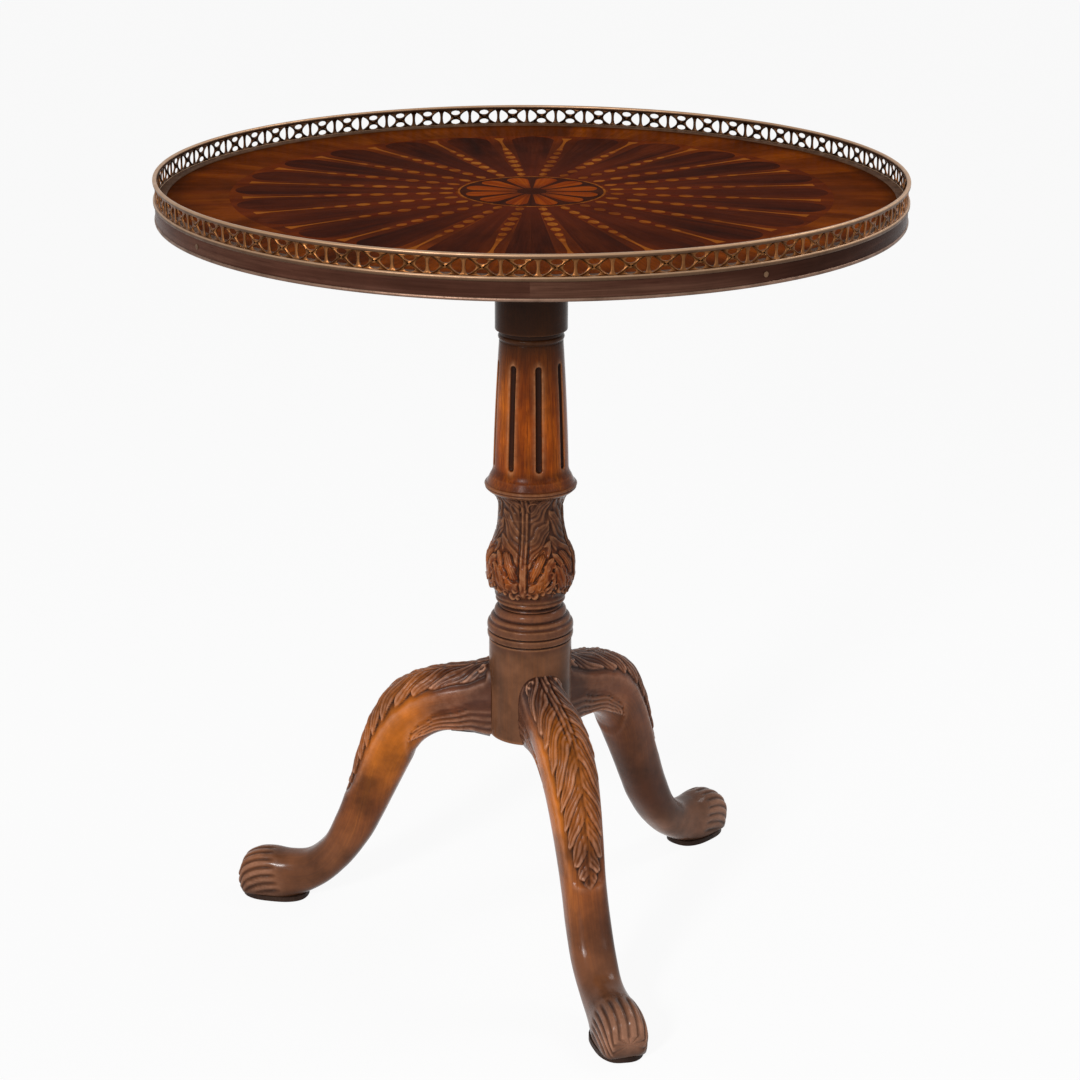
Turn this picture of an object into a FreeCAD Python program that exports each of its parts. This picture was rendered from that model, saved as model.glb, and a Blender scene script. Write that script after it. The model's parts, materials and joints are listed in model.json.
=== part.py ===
# Tray-top tea table on a carved tripod, with a top that tips up.
#
# Millimetres and degrees. +Z is up, and the origin is on the floor, on the axis of the column.
# The front is -Y. A bearing of 0 is the front, and bearings grow towards +X, which is the right.
# The round tray carries a pierced gallery. Two bearers under it turn on two pins in the tilt block,
# a sprung catch holds it level, and the block sits on the column, which stands on three legs.
import FreeCAD, Part
import math
import os
import Sketcher

SIZES = (
    # tray
    ("surface_height", 742.0),
    ("board_thickness", 18.2),
    ("veneer_thickness", 0.8),
    ("board_radius", 338.0),
    ("edge_radius", 343.0),
    ("edge_line_height", 3.0),
    ("edge_line_depth", 1.5),
    ("edge_line_proud", 0.8),
    ("rim_pin_count", 4),
    ("rim_pin_bearing", 34.2),
    ("rim_pin_radius", 2.4),
    ("rim_pin_length", 16.0),
    ("rim_pin_proud", 0.6),
    # gallery
    ("gallery_top", 762.0),
    ("gallery_radius", 344.5),
    ("foot_rail_inner", 332.5),
    ("foot_rail_height", 1.5),
    ("foot_rail_drop", 2.5),
    ("top_rail_height", 4.0),
    ("top_rail_width", 4.0),
    ("fret_radius", 342.6),
    ("fret_thickness", 1.6),
    ("fret_units", 72),
    ("fret_strips", 24),
    ("fret_bearing", 3.6),
    # marquetry
    ("petal_count", 24),
    ("petal_inner", 70.0),
    ("petal_outer", 272.0),
    ("petal_half_angle", 4.8),
    ("line_outer", 250.0),
    ("line_width", 2.4),
    ("border_inner", 276.0),
    ("medallion_radius", 66.0),
    ("medallion_line", 2.0),
    ("medallion_petals", 12),
    ("shell_inner", 14.0),
    ("shell_half_angle", 11.0),
    ("shell_margin", 4.0),
    # tilt block and pivots
    ("pivot_height", 703.0),
    ("pivot_forward", 55.0),
    ("pivot_radius", 8.0),
    ("pivot_play", 0.05),
    ("block_half", 75.0),
    ("block_depth", 50.0),
    ("top_play", 0.3),
    ("tenon_radius", 22.0),
    ("pin_length_in_block", 30.0),
    ("wedge_depth", 32.0),
    ("wedge_width", 3.2),
    # bearers
    ("bearer_offset", 93.0),
    ("bearer_width", 34.0),
    ("bearer_half_length", 230.0),
    ("bearer_depth", 38.0),
    ("bearer_tip_depth", 12.0),
    ("bearer_level_half", 90.0),
    ("screw_bite", 13.0),
    # catch
    ("catch_front", 84.0),
    ("catch_length", 40.0),
    ("catch_half_width", 12.5),
    ("catch_wall", 2.7),
    ("catch_travel", 7.0),
    ("bolt_height", 8.0),
    ("bolt_length", 20.0),
    ("bolt_tip", 73.0),
    ("nose_half_width", 7.0),
    ("knob_stem_radius", 2.6),
    ("knob_radius", 5.5),
    ("keeper_thickness", 3.0),
    ("keeper_half_width", 20.0),
    # column
    ("column_foot", 205.0),
    ("drum_radius", 40.2),
    ("waist_radius", 30.6),
    ("vase_radius", 43.3),
    ("lip_radius", 43.7),
    ("lip_height", 457.5),
    ("shaft_foot_radius", 35.7),
    ("shaft_foot_height", 477.0),
    ("shaft_neck_radius", 30.2),
    ("shaft_neck_height", 602.0),
    ("collar_radius", 34.2),
    ("collar_height", 612.5),
    ("flute_count", 8),
    ("flute_bearing", 13.0),
    ("flute_radius", 3.4),
    ("flute_low", 484.0),
    ("flute_high", 580.0),
    # legs
    ("front_leg_bearing", 17.8),
    ("right_leg_bearing", 138.2),
    ("left_leg_bearing", -102.0),
    ("slot_top", 268.5),
    ("tongue_depth", 14.0),
    ("tongue_neck", 16.0),
    ("tongue_tail", 22.0),
    ("pad_height", 5.0),
    ("pad_reach", 265.5),
    ("pad_half_length", 33.5),
    ("pad_half_width", 22.5),
    ("spider_thickness", 3.0),
    ("spider_arm_width", 22.0),
    ("spider_reach", 77.0),
    ("spider_hub_radius", 30.0),
    ("spider_screw_reach", 64.0),
    ("spider_screw_length", 30.0),
)

doc = FreeCAD.newDocument("tea_table")
sheet = doc.addObject("Spreadsheet::Sheet", "dims")
for row, (alias, number) in enumerate(SIZES, start=1):
    sheet.set("A%d" % row, alias)
    sheet.set("B%d" % row, str(number))
    sheet.setAlias("B%d" % row, alias)
doc.recompute()

UP = FreeCAD.Vector(0, 0, 1)
made = []


# ---------------------------------------------------------------- helpers

def size(alias):
    """The number in the sheet under this name."""
    return float(sheet.get(alias))


def at(alias, offset=0.0, factor=1.0):
    """A coordinate that follows the sheet: factor times the named size, plus an offset."""
    return (alias, offset, factor)


def value_of(place):
    """The number behind a coordinate, which is a plain number or one made by at()."""
    if isinstance(place, tuple):
        return size(place[0]) * place[2] + place[1]
    return float(place)


def formula_of(place):
    """The expression that binds a coordinate made by at() to the sheet."""
    return "dims.%s * (%r) + (%r)" % (place[0], place[2], place[1])


def underside():
    """The height of the underside of the tray's board."""
    return size("surface_height") - size("board_thickness") - size("veneer_thickness")


def bind(thing, name, place):
    """Sets a property and, where the coordinate follows the sheet, binds it there."""
    if isinstance(place, tuple):
        thing.setExpression(name, formula_of(place))
    else:
        setattr(thing, name, place)


def keep(thing, label):
    """Names a finished sub-part and puts it on the list that is written out."""
    thing.Label = label
    made.append(thing)
    return thing


def new_body(name):
    """An empty body for one sub-part."""
    return doc.addObject("PartDesign::Body", name)


def new_sketch(body, role, name):
    """A sketch on one of the body's own origin planes."""
    plane = next(item for item in body.Origin.OriginFeatures if item.Role == role)
    sketch = body.newObject("Sketcher::SketchObject", name)
    sketch.AttachmentSupport = [(plane, "")]
    sketch.MapMode = "FlatFace"
    return sketch


def pin_coordinate(sketch, kind, geometry, end, place):
    """Fixes one coordinate of a point from the sketch's origin."""
    number = value_of(place)
    if abs(number) < 1e-9:
        axis = -2 if kind == "DistanceX" else -1
        sketch.addConstraint(Sketcher.Constraint("PointOnObject", geometry, end, axis))
        return
    index = sketch.addConstraint(Sketcher.Constraint(kind, -1, 1, geometry, end, number))
    if isinstance(place, tuple):
        sketch.setExpression("Constraints[%d]" % index, formula_of(place))


def draw_outline(sketch, corners):
    """Draws a closed outline, anticlockwise.

    Each corner is (x, y) or (x, y, belly). The belly is the height of the arc from this corner to
    the next: positive swells outwards, negative is hollow, and without it the side is straight.
    """
    spots = [FreeCAD.Vector(value_of(c[0]), value_of(c[1]), 0) for c in corners]
    starts = []
    ends = []
    for index, corner in enumerate(corners):
        here = spots[index]
        there = spots[(index + 1) % len(spots)]
        belly = corner[2] if len(corner) > 2 else 0.0
        if not belly:
            side = sketch.addGeometry(Part.LineSegment(here, there), False)
            starts.append((side, 1))
            ends.append((side, 2))
            continue
        chord = there - here
        radius = (chord.Length ** 2 / 4 + belly ** 2) / (2 * abs(belly))
        to_left = FreeCAD.Vector(-chord.y, chord.x, 0).normalize()
        reach = math.copysign(radius - abs(belly), belly)
        centre = (here + there) * 0.5 + to_left * reach
        first, last = (here, there) if belly > 0 else (there, here)
        circle = Part.Circle(centre, UP, radius)
        turn = [math.atan2(spot.y - centre.y, spot.x - centre.x) for spot in (first, last)]
        side = sketch.addGeometry(Part.ArcOfCircle(circle, turn[0], turn[1]), False)
        starts.append((side, 1 if belly > 0 else 2))
        ends.append((side, 2 if belly > 0 else 1))
        sketch.addConstraint(Sketcher.Constraint("Radius", side, radius))
    for index, corner in enumerate(corners):
        geometry, end = starts[index]
        before = ends[index - 1]
        sketch.addConstraint(Sketcher.Constraint("Coincident", before[0], before[1], geometry, end))
        pin_coordinate(sketch, "DistanceX", geometry, end, corner[0])
        pin_coordinate(sketch, "DistanceY", geometry, end, corner[1])


def turned(name, corners):
    """A turned piece: an outline of (radius, height) corners spun about the Z axis."""
    body = new_body(name)
    sketch = new_sketch(body, "XZ_Plane", name + "_outline")
    draw_outline(sketch, corners)
    turning = body.newObject("PartDesign::Revolution", name + "_turning")
    turning.Profile = sketch
    turning.ReferenceAxis = (sketch, ["V_Axis"])
    turning.Angle = 360
    doc.recompute()
    return body


def sawn(name, role, corners, length, from_middle=True, offset=0.0):
    """A piece cut to an outline on an origin plane and given a thickness square to it."""
    body = new_body(name)
    sketch = new_sketch(body, role, name + "_outline")
    draw_outline(sketch, corners)
    if offset:
        bind(sketch, "AttachmentOffset.Base.z", at(offset[0], *offset[1:]))
    pad = body.newObject("PartDesign::Pad", name + "_pad")
    pad.Profile = sketch
    pad.Midplane = from_middle
    bind(pad, "Length", length)
    doc.recompute()
    return body


def feature(name, shape, placement=None):
    """A piece whose shape is worked out here, with its place set after its shape."""
    thing = doc.addObject("Part::Feature", name)
    thing.Shape = shape
    if placement is not None:
        thing.Placement = placement
    return thing


def cut(name, base, tool):
    """One piece less another."""
    result = doc.addObject("Part::Cut", name)
    result.Base = base
    result.Tool = tool
    doc.recompute()
    before = base.Shape.Volume
    if not result.Shape.Volume < before - 1e-6:
        raise RuntimeError("%s removes nothing" % name)
    return result


def block_between(low, high):
    """A plain box between two corners."""
    box = Part.makeBox(high[0] - low[0], high[1] - low[1], high[2] - low[2])
    box.translate(FreeCAD.Vector(*low))
    return box


def rod(radius, start, end):
    """A plain cylinder from one point to another."""
    start, end = FreeCAD.Vector(*start), FreeCAD.Vector(*end)
    return Part.makeCylinder(radius, (end - start).Length, start, end - start)


def prism(points, way):
    """A closed flat outline of straight sides pushed along a vector."""
    vectors = [FreeCAD.Vector(*point) for point in points]
    face = Part.Face(Part.makePolygon(vectors + vectors[:1]))
    return face.extrude(FreeCAD.Vector(*way))


def compass(bearing):
    """The turn about Z that carries a piece made along +X to this bearing."""
    return FreeCAD.Placement(FreeCAD.Vector(), FreeCAD.Rotation(UP, bearing - 90.0))


def spun(shape, bearings):
    """Copies of a shape made along +X, one at each bearing."""
    copies = []
    for bearing in bearings:
        copy = shape.copy()
        copy.Placement = compass(bearing).multiply(copy.Placement)
        copies.append(copy)
    return copies


def wood_screw(head_at, point_at, head_radius=4.0, shank_radius=2.0):
    """A countersunk screw from the middle of its head to its point, without its thread."""
    head, point = FreeCAD.Vector(*head_at), FreeCAD.Vector(*point_at)
    way = (point - head).normalize()
    sink = head_radius - shank_radius
    cone = Part.makeCone(head_radius, shank_radius, sink, head, way)
    shank = Part.makeCylinder(shank_radius, (point - head).Length - sink, head + way * sink, way)
    return cone.fuse(shank).removeSplitter()


# ---------------------------------------------------------------- tray

def make_tray_board():
    """The round board, its dark lipping and the thin light line at the lipping's lower edge."""
    under = at("surface_height", -size("board_thickness") - size("veneer_thickness"))
    ground = at("surface_height", -size("veneer_thickness"))
    board = turned("top_board", (
        (0, under), (at("board_radius"), under), (at("board_radius"), ground), (0, ground)))
    keep(board, "top_board")

    line_top = at("surface_height", under[1] + size("edge_line_height"))
    line_back = at("edge_radius", -size("edge_line_depth"))
    rail_low = at("surface_height", -size("foot_rail_drop"))
    rail_back = at("edge_radius", -1.0)
    band = turned("edge_band", (
        (at("board_radius"), under), (line_back, under), (line_back, line_top),
        (at("edge_radius"), line_top), (at("edge_radius"), rail_low), (rail_back, rail_low),
        (rail_back, at("surface_height")), (at("board_radius"), at("surface_height"))))
    keep(band, "edge_band")

    proud = at("edge_radius", size("edge_line_proud") - 0.5)
    line = turned("edge_line", (
        (line_back, under), (proud, under, 0.5), (proud, line_top), (line_back, line_top)))
    keep(line, "edge_line")


def make_rim_pins():
    """Four small pins through the lipping into the board, a quarter of a turn apart."""
    height = size("surface_height") - (size("board_thickness") + size("veneer_thickness")) / 2
    reach = size("edge_radius") + size("rim_pin_proud")
    pin = rod(size("rim_pin_radius"), (reach - size("rim_pin_length"), 0, height), (reach, 0, height))
    count = int(size("rim_pin_count"))
    pins = spun(pin, [size("rim_pin_bearing") + 360.0 / count * number for number in range(count)])
    keep(feature("rim_pins", Part.makeCompound(pins)), "rim_pins")


def petal_outline(inner, outer, half_angle):
    """The wire of one petal along +X: two straight sides that widen, and a rounded outer end."""
    spread = math.radians(half_angle)
    shoulder = outer / (1 + math.sin(spread) * 1.08)
    near = [FreeCAD.Vector(inner * math.cos(turn), inner * math.sin(turn), 0)
            for turn in (-spread, spread)]
    far = [FreeCAD.Vector(shoulder * math.cos(turn), shoulder * math.sin(turn), 0)
           for turn in (-spread, spread)]
    tip = FreeCAD.Vector(outer, 0, 0)
    return Part.Wire([
        Part.makeLine(near[0], far[0]),
        Part.Arc(far[0], tip, far[1]).toShape(),
        Part.makeLine(far[1], near[1]),
        Part.makeLine(near[1], near[0])])


def make_marquetry():
    """The veneers of the tray: border, sunburst field, dark petals, light lines and medallion."""
    thick = size("veneer_thickness")
    bottom = size("surface_height") - thick
    count = int(size("petal_count"))
    step = 360.0 / count

    def ring(inner, outer):
        whole = Part.makeCylinder(outer, thick, FreeCAD.Vector(0, 0, bottom))
        return whole.cut(Part.makeCylinder(inner, thick, FreeCAD.Vector(0, 0, bottom)))

    flat = Part.Face(petal_outline(size("petal_inner"), size("petal_outer"), size("petal_half_angle")))
    flat.translate(FreeCAD.Vector(0, 0, bottom))
    petals = spun(flat.extrude(UP * thick), [step * turn for turn in range(count)])
    keep(feature("petal_inlays", Part.makeCompound(petals)), "petal_inlays")

    half = size("line_width") / 2
    line = block_between((size("petal_inner"), -half, bottom), (size("line_outer"), half, bottom + thick))
    lines = spun(line, [step * (turn + 0.5) for turn in range(count)])
    keep(feature("line_inlays", Part.makeCompound(lines)), "line_inlays")

    edge = size("medallion_radius") + size("medallion_line")
    field = ring(edge, size("border_inner")).cut(Part.makeCompound(petals + lines))
    keep(feature("field_veneer", field), "field_veneer")
    keep(feature("border_veneer", ring(size("border_inner"), size("board_radius"))), "border_veneer")
    keep(feature("medallion_line", ring(size("medallion_radius"), edge)), "medallion_line")

    rays = int(size("medallion_petals"))
    shell_outer = size("medallion_radius") - size("shell_margin")
    flat = Part.Face(petal_outline(size("shell_inner"), shell_outer, size("shell_half_angle")))
    flat.translate(FreeCAD.Vector(0, 0, bottom))
    shells = spun(flat.extrude(UP * thick), [360.0 / rays * (turn + 0.5) for turn in range(rays)])
    keep(feature("medallion_shells", Part.makeCompound(shells)), "medallion_shells")
    disc = Part.makeCylinder(size("medallion_radius"), thick, FreeCAD.Vector(0, 0, bottom))
    keep(feature("medallion_ground", disc.cut(Part.makeCompound(shells))), "medallion_ground")


# ---------------------------------------------------------------- gallery

def make_gallery_rails():
    """The brass rails: one that laps the edge of the tray, and one along the top of the fret."""
    surface = at("surface_height")
    lap = at("surface_height", -size("foot_rail_drop"))
    top = at("surface_height", size("foot_rail_height"))
    shoulder = at("gallery_radius", -1.0)
    foot = turned("gallery_foot_rail", (
        (at("foot_rail_inner"), surface), (at("edge_radius", -1.0), surface),
        (at("edge_radius", -1.0), lap), (shoulder, lap, 1.0), (shoulder, top),
        (at("foot_rail_inner", 1.0), top, 0.4)))
    keep(foot, "gallery_foot_rail")

    low = at("gallery_top", -size("top_rail_height"))
    inner = at("gallery_radius", -size("top_rail_width") + 0.8)
    outer = at("gallery_radius", -0.8)
    rail = turned("gallery_top_rail", (
        (inner, low), (outer, low, 0.8), (outer, at("gallery_top")), (inner, at("gallery_top"), 0.8)))
    keep(rail, "gallery_top_rail")


# Across half a unit of the fret, as parts of its half width: the end of the upper and lower
# openings, and the near middle, far middle and ends of the side openings.
FRET_PARTS = (0.40, 0.31, 0.74, 0.84)
FRET_MARGIN = 0.9
FRET_CROSSING = 1.7


def make_gallery_fret():
    """The pierced strips between the rails: crossed bars with leaf-shaped uprights between them.

    Each strip is bent a little at every unit. A unit has four openings about its crossing:
    one above, one below and a chevron at each side.
    """
    units = int(size("fret_units"))
    strips = int(size("fret_strips"))
    step = 360.0 / units
    per_strip = units // strips
    low = size("surface_height") + size("foot_rail_height")
    tall = size("gallery_top") - size("top_rail_height") - low
    middle = low + tall / 2
    outer = size("fret_radius")
    inner = outer - size("fret_thickness")

    def corner(radius, turn):
        return (radius * math.cos(math.radians(turn)), radius * math.sin(math.radians(turn)), low)

    turns = [step * number for number in range(per_strip + 1)]
    band = [corner(outer, turn) for turn in turns] + [corner(inner, turn) for turn in reversed(turns)]
    strip = prism(band, (0, 0, tall))

    half = outer * math.tan(math.radians(step / 2))
    gap, waist, leaf, tip = (part * half for part in FRET_PARTS)
    rise = tall / 2 - FRET_MARGIN
    openings = (
        ((-gap, rise), (0, FRET_CROSSING), (gap, rise)),
        ((-gap, -rise), (gap, -rise), (0, -FRET_CROSSING)),
        ((waist, 0), (tip, -rise), (leaf, 0), (tip, rise)),
        ((-waist, 0), (-tip, rise), (-leaf, 0), (-tip, -rise)),
    )
    tools = []
    for number in range(per_strip):
        for outline in openings:
            points = [(inner - 2.0, across, middle + up) for across, up in outline]
            tool = prism(points, (size("fret_thickness") + 4.0, 0, 0))
            tool.rotate(FreeCAD.Vector(), UP, step * (number + 0.5))
            tools.append(tool)
    strip = strip.cut(Part.makeCompound(tools))
    strip = Part.makeSolid(strip.Shells[0])
    spread = 360.0 / strips
    start = size("fret_bearing") - step / 2
    copies = spun(strip, [start + spread * number for number in range(strips)])
    keep(feature("gallery_fret", Part.makeCompound(copies)), "gallery_fret")


# ---------------------------------------------------------------- bearers and pivots

# Along a bearer: where each screw is, and how deep the wood is there.
BEARER_SCREWS = ((-190.0, 20.0), (20.0, 38.0), (190.0, 22.0))


def make_bearers():
    """Two bearers across the underside of the tray, tapered to their ends, that turn on the pins."""
    under = underside()
    long_half = at("bearer_half_length")
    back_half = at("bearer_half_length", 0.0, -1.0)
    full = under - size("bearer_depth")
    tip = under - size("bearer_tip_depth")
    level = size("bearer_level_half")
    forward = size("pivot_forward")
    pivot = size("pivot_height")
    hole = size("pivot_radius") + size("pivot_play")
    screws = []
    for side, sign in (("left", -1.0), ("right", 1.0)):
        body = sawn("bearer_%s_blank" % side, "YZ_Plane", (
            (back_half, tip), (-level - forward / 2, full), (level, full), (long_half, tip),
            (long_half, under), (back_half, under)), at("bearer_width"))
        body.setExpression("Placement.Base.x", "dims.bearer_offset * (%r)" % sign)
        doc.recompute()
        inner = sign * (size("bearer_offset") - size("bearer_width"))
        outer = sign * (size("bearer_offset") + size("bearer_width"))
        bore = rod(hole, (inner, -forward, pivot), (outer, -forward, pivot))
        x = sign * size("bearer_offset")
        own = [wood_screw((x, y, under - depth), (x, y, under + size("screw_bite")))
               for y, depth in BEARER_SCREWS]
        screws += own
        tool = feature("bearer_%s_bores" % side, Part.makeCompound([bore] + own))
        keep(cut("bearer_" + side, body, tool), "bearer_" + side)
    keep(feature("bearer_screws", Part.makeCompound(screws)), "bearer_screws")


def make_pivot_pins():
    """The two pins, driven into the block, that carry the bearers."""
    inner = size("block_half") - size("pin_length_in_block")
    outer = size("bearer_offset") + size("bearer_width") / 2 - 0.5
    for side, sign in (("left", -1.0), ("right", 1.0)):
        pin = doc.addObject("Part::Cylinder", "pivot_pin_" + side)
        pin.setExpression("Radius", "dims.pivot_radius")
        pin.Height = outer - inner
        start = FreeCAD.Vector(sign * inner, -size("pivot_forward"), size("pivot_height"))
        pin.Placement = FreeCAD.Placement(start, FreeCAD.Rotation(UP, FreeCAD.Vector(sign, 0, 0)))
        keep(pin, "pivot_pin_" + side)


def make_tilt_block():
    """The block on the column. Its front upper edge is rounded about the pivots for the tray to pass."""
    under = underside()
    top = under - size("top_play")
    low = top - size("block_depth")
    round_edge = top - size("pivot_height")
    half = size("block_half")
    forward = size("pivot_forward")
    front = -forward - round_edge
    rise = round_edge * (1 - math.sqrt(0.5))
    body = sawn("tilt_block_blank", "YZ_Plane", (
        (front + 5, low), (half - 5, low), (half, low + 5), (half, top), (-forward, top, rise),
        (front, size("pivot_height")), (front, low + 5)), at("block_half", 0.0, 2.0))
    tenon = rod(size("tenon_radius"), (0, 0, low - 5), (0, 0, top + 5))
    seat = block_between((-9.0, half - 5.0, size("pivot_height") + 1.0), (9.0, half + 5.0, top + 5.0))
    inner = half - size("pin_length_in_block")
    bores = [rod(size("pivot_radius"), (sign * inner, -forward, size("pivot_height")),
                 (sign * (half + 5.0), -forward, size("pivot_height"))) for sign in (-1.0, 1.0)]
    tool = feature("tilt_block_bores", Part.makeCompound([tenon, seat] + bores))
    keep(cut("tilt_block", body, tool), "tilt_block")


# ---------------------------------------------------------------- catch

# Up the catch, from the underside of its bolt: the bolt's nose, its bevel and its upper face.
NOSE_LOW, NOSE_BEVEL, NOSE_HIGH = 2.5, 5.0, 6.5
CATCH_SCREW = (3.2, 1.6)


def make_catch():
    """The brass catch under the tray, its sprung bolt with a knob, and the keeper on the block."""
    under = underside()
    front = size("catch_front")
    back = front + size("catch_length")
    half = size("catch_half_width")
    wall = size("catch_wall")
    play = size("top_play")
    low = size("pivot_height") + 2.0
    high = low + size("bolt_height")
    bolt_front = front + 4.0
    bolt_back = bolt_front + size("bolt_length")
    knob_y = front + 14.0
    stem = size("knob_stem_radius")

    plate = block_between((-24.0, front, under - 2.0), (24.0, back, under))
    box = block_between((-half, front, low - play - wall), (half, back, under - 2.0))
    hollow = block_between((-half + wall, front - 1.0, low - play), (half - wall, back - wall, high + play))
    slot = block_between((-stem - play, knob_y - stem - play, low - play - wall - 1.0),
                         (stem + play, knob_y + stem + size("catch_travel") + play, low))
    screws = [wood_screw((x, front + 20.0, under - 2.0), (x, front + 20.0, under + 12.0), *CATCH_SCREW)
              for x in (-18.5, 18.5)]
    case = plate.fuse(box).removeSplitter().cut(Part.makeCompound([hollow, slot] + screws))
    keep(feature("catch_case", case), "catch_case")
    keep(feature("catch_screws", Part.makeCompound(screws)), "catch_screws")

    tip = size("bolt_tip")
    wide = size("nose_half_width")
    nose = prism(((-wide, tip, low + NOSE_BEVEL), (-wide, tip + 4.0, low + NOSE_LOW),
                  (-wide, bolt_front, low + NOSE_LOW), (-wide, bolt_front, low + NOSE_HIGH),
                  (-wide, tip, low + NOSE_HIGH)), (2 * wide, 0, 0))
    bolt_half = half - wall - play
    slide = block_between((-bolt_half, bolt_front, low), (bolt_half, bolt_back, high))
    post = rod(stem, (0, knob_y, low + 1.0), (0, knob_y, low - 13.0))
    ball = Part.makeSphere(size("knob_radius"), FreeCAD.Vector(0, knob_y, low - 16.0))
    keep(feature("catch_bolt", nose.fuse([slide, post, ball]).removeSplitter()), "catch_bolt")

    make_catch_spring(back - wall - 0.1, bolt_back + 0.1, bolt_half - 0.5, low + 1.0)
    make_catch_keeper(low)


def make_catch_spring(back, crown, reach, low):
    """The bowed leaf between the back wall of the catch and its bolt."""
    thick = 0.7
    outer = Part.Arc(FreeCAD.Vector(-reach, back, low), FreeCAD.Vector(0, crown, low),
                     FreeCAD.Vector(reach, back, low)).toShape()
    inner = Part.Arc(FreeCAD.Vector(-reach + 1.0, back, low), FreeCAD.Vector(0, crown + thick, low),
                     FreeCAD.Vector(reach - 1.0, back, low)).toShape()
    ends = [Part.makeLine(outer.Vertexes[number].Point, inner.Vertexes[number].Point) for number in (0, 1)]
    loop = Part.Wire(Part.__sortEdges__([outer, ends[0], ends[1], inner]))
    keep(feature("catch_spring", Part.Face(loop).extrude(UP * 6.0)), "catch_spring")


def make_catch_keeper(bolt_low):
    """The brass keeper on the back of the block, with the hole the nose of the bolt goes in."""
    face = size("block_half")
    wide = size("keeper_half_width")
    thick = size("keeper_thickness")
    lip = bolt_low + NOSE_HIGH + 0.8
    plate = block_between((-wide, face, lip - 23.0), (wide, face + thick, lip + 3.2))
    clear = size("nose_half_width") + 0.7
    hole = block_between((-clear, face - 1.0, bolt_low + 1.8), (clear, face + thick + 1.0, lip))
    height = lip - 16.0
    screws = [wood_screw((x, face + thick, height), (x, face - 14.0, height), *CATCH_SCREW)
              for x in (-13.0, 13.0)]
    keeper = plate.cut(Part.makeCompound([hole] + screws))
    keep(feature("catch_keeper", keeper), "catch_keeper")
    keep(feature("keeper_screws", Part.makeCompound(screws)), "keeper_screws")


# ---------------------------------------------------------------- column

def dovetail(low, high, inner_end, outer_end):
    """A dovetail along +X: wide at its inner end, narrow where it leaves the column."""
    neck = size("tongue_neck") / 2
    tail = size("tongue_tail") / 2
    points = ((inner_end, -tail, low), (outer_end, -neck, low),
              (outer_end, neck, low), (inner_end, tail, low))
    return prism(points, (0, 0, high - low))


def leg_bearings():
    """The bearings of the three legs by name, which stand a third of a turn apart to within a degree."""
    return tuple((name, size(name + "_leg_bearing")) for name in ("front", "right", "left"))


# The rings between the drum and the vase, as radius, height and belly.
COLUMN_RINGS = (
    (at("drum_radius"), 297.5), (38.6, 299.0), (40.8, 301.0), (40.8, 306.5), (40.3, 307.4, 1.4),
    (40.5, 313.6), (39.9, 314.4, 1.3), (39.0, 320.6), (38.2, 321.5, 1.8), (38.2, 328.0),
    (36.4, 329.0, -1.4))


def make_column():
    """The turned and fluted column, slotted at its foot for the legs and with a tenon at its top."""
    under = underside()
    block_low = under - size("top_play") - size("block_depth")
    foot = at("column_foot")
    drum = at("drum_radius")
    waist = at("waist_radius")
    top = block_low + size("block_depth")
    outline = (
        (0, foot), (at("drum_radius", -3.0), foot, 0.9), (drum, at("column_foot", 3.0))) + COLUMN_RINGS + (
        (waist, 336.5), (waist, 340.5, -0.9), (36.7, 353.0, 2.0),
        (at("vase_radius"), 376.5), (at("vase_radius"), 382.0, 0.9), (39.6, 398.0, -1.5), (32.6, 428.0),
        (32.6, 431.5, -3.2), (at("lip_radius"), at("lip_height", -0.8), 0.5),
        (at("lip_radius", -0.4), at("lip_height", 0.9), 0.3), (38.6, 468.0, -0.4),
        (at("shaft_foot_radius"), at("shaft_foot_height"), 0.7),
        (at("shaft_neck_radius"), at("shaft_neck_height")), (29.8, at("shaft_neck_height", 1.0), 1.5),
        (29.8, at("shaft_neck_height", 6.6)), (30.4, at("shaft_neck_height", 7.4)),
        (30.4, at("collar_height", -0.4)), (at("collar_radius", -0.8), at("collar_height"), 0.3),
        (at("collar_radius"), at("collar_height", 0.8)), (at("collar_radius"), 640.0, -3.0),
        (44.0, 660.0), (44.0, block_low), (at("tenon_radius"), block_low), (at("tenon_radius"), top),
        (0, top))
    body = turned("column_blank", outline)

    low, high = size("flute_low"), size("flute_high")
    slope = (size("shaft_foot_radius") - size("shaft_neck_radius")) / (
        size("shaft_neck_height") - size("shaft_foot_height"))
    radius = size("flute_radius")
    seat = [size("shaft_foot_radius") + 0.6 - slope * (level - size("shaft_foot_height"))
            for level in (low, high)]
    run = rod(radius, (seat[0], 0, low), (seat[1], 0, high))
    ends = [Part.makeSphere(radius, FreeCAD.Vector(seat[0], 0, low)),
            Part.makeSphere(radius, FreeCAD.Vector(seat[1], 0, high))]
    flute = run.fuse(ends).removeSplitter()
    count = int(size("flute_count"))
    flutes = spun(flute, [size("flute_bearing") + 360.0 / count * turn for turn in range(count)])

    slot = dovetail(size("column_foot") - 5.0, size("slot_top"), size("drum_radius") - size("tongue_depth"),
                    size("drum_radius") + 5.0)
    slots = spun(slot, [bearing for name, bearing in leg_bearings()])

    kerf_half = size("wedge_width") / 2
    kerf = prism(((-30.0, -kerf_half, top), (-30.0, kerf_half, top),
                  (-30.0, 0, top - size("wedge_depth"))), (60.0, 0, 0))
    tenon = rod(size("tenon_radius"), (0, 0, block_low), (0, 0, top))
    wedge = kerf.common(tenon)
    keep(feature("tenon_wedge", wedge), "tenon_wedge")
    tool = feature("column_cuts", Part.makeCompound(flutes + slots + [wedge]))
    keep(cut("column", body, tool), "column")


# ---------------------------------------------------------------- legs

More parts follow.
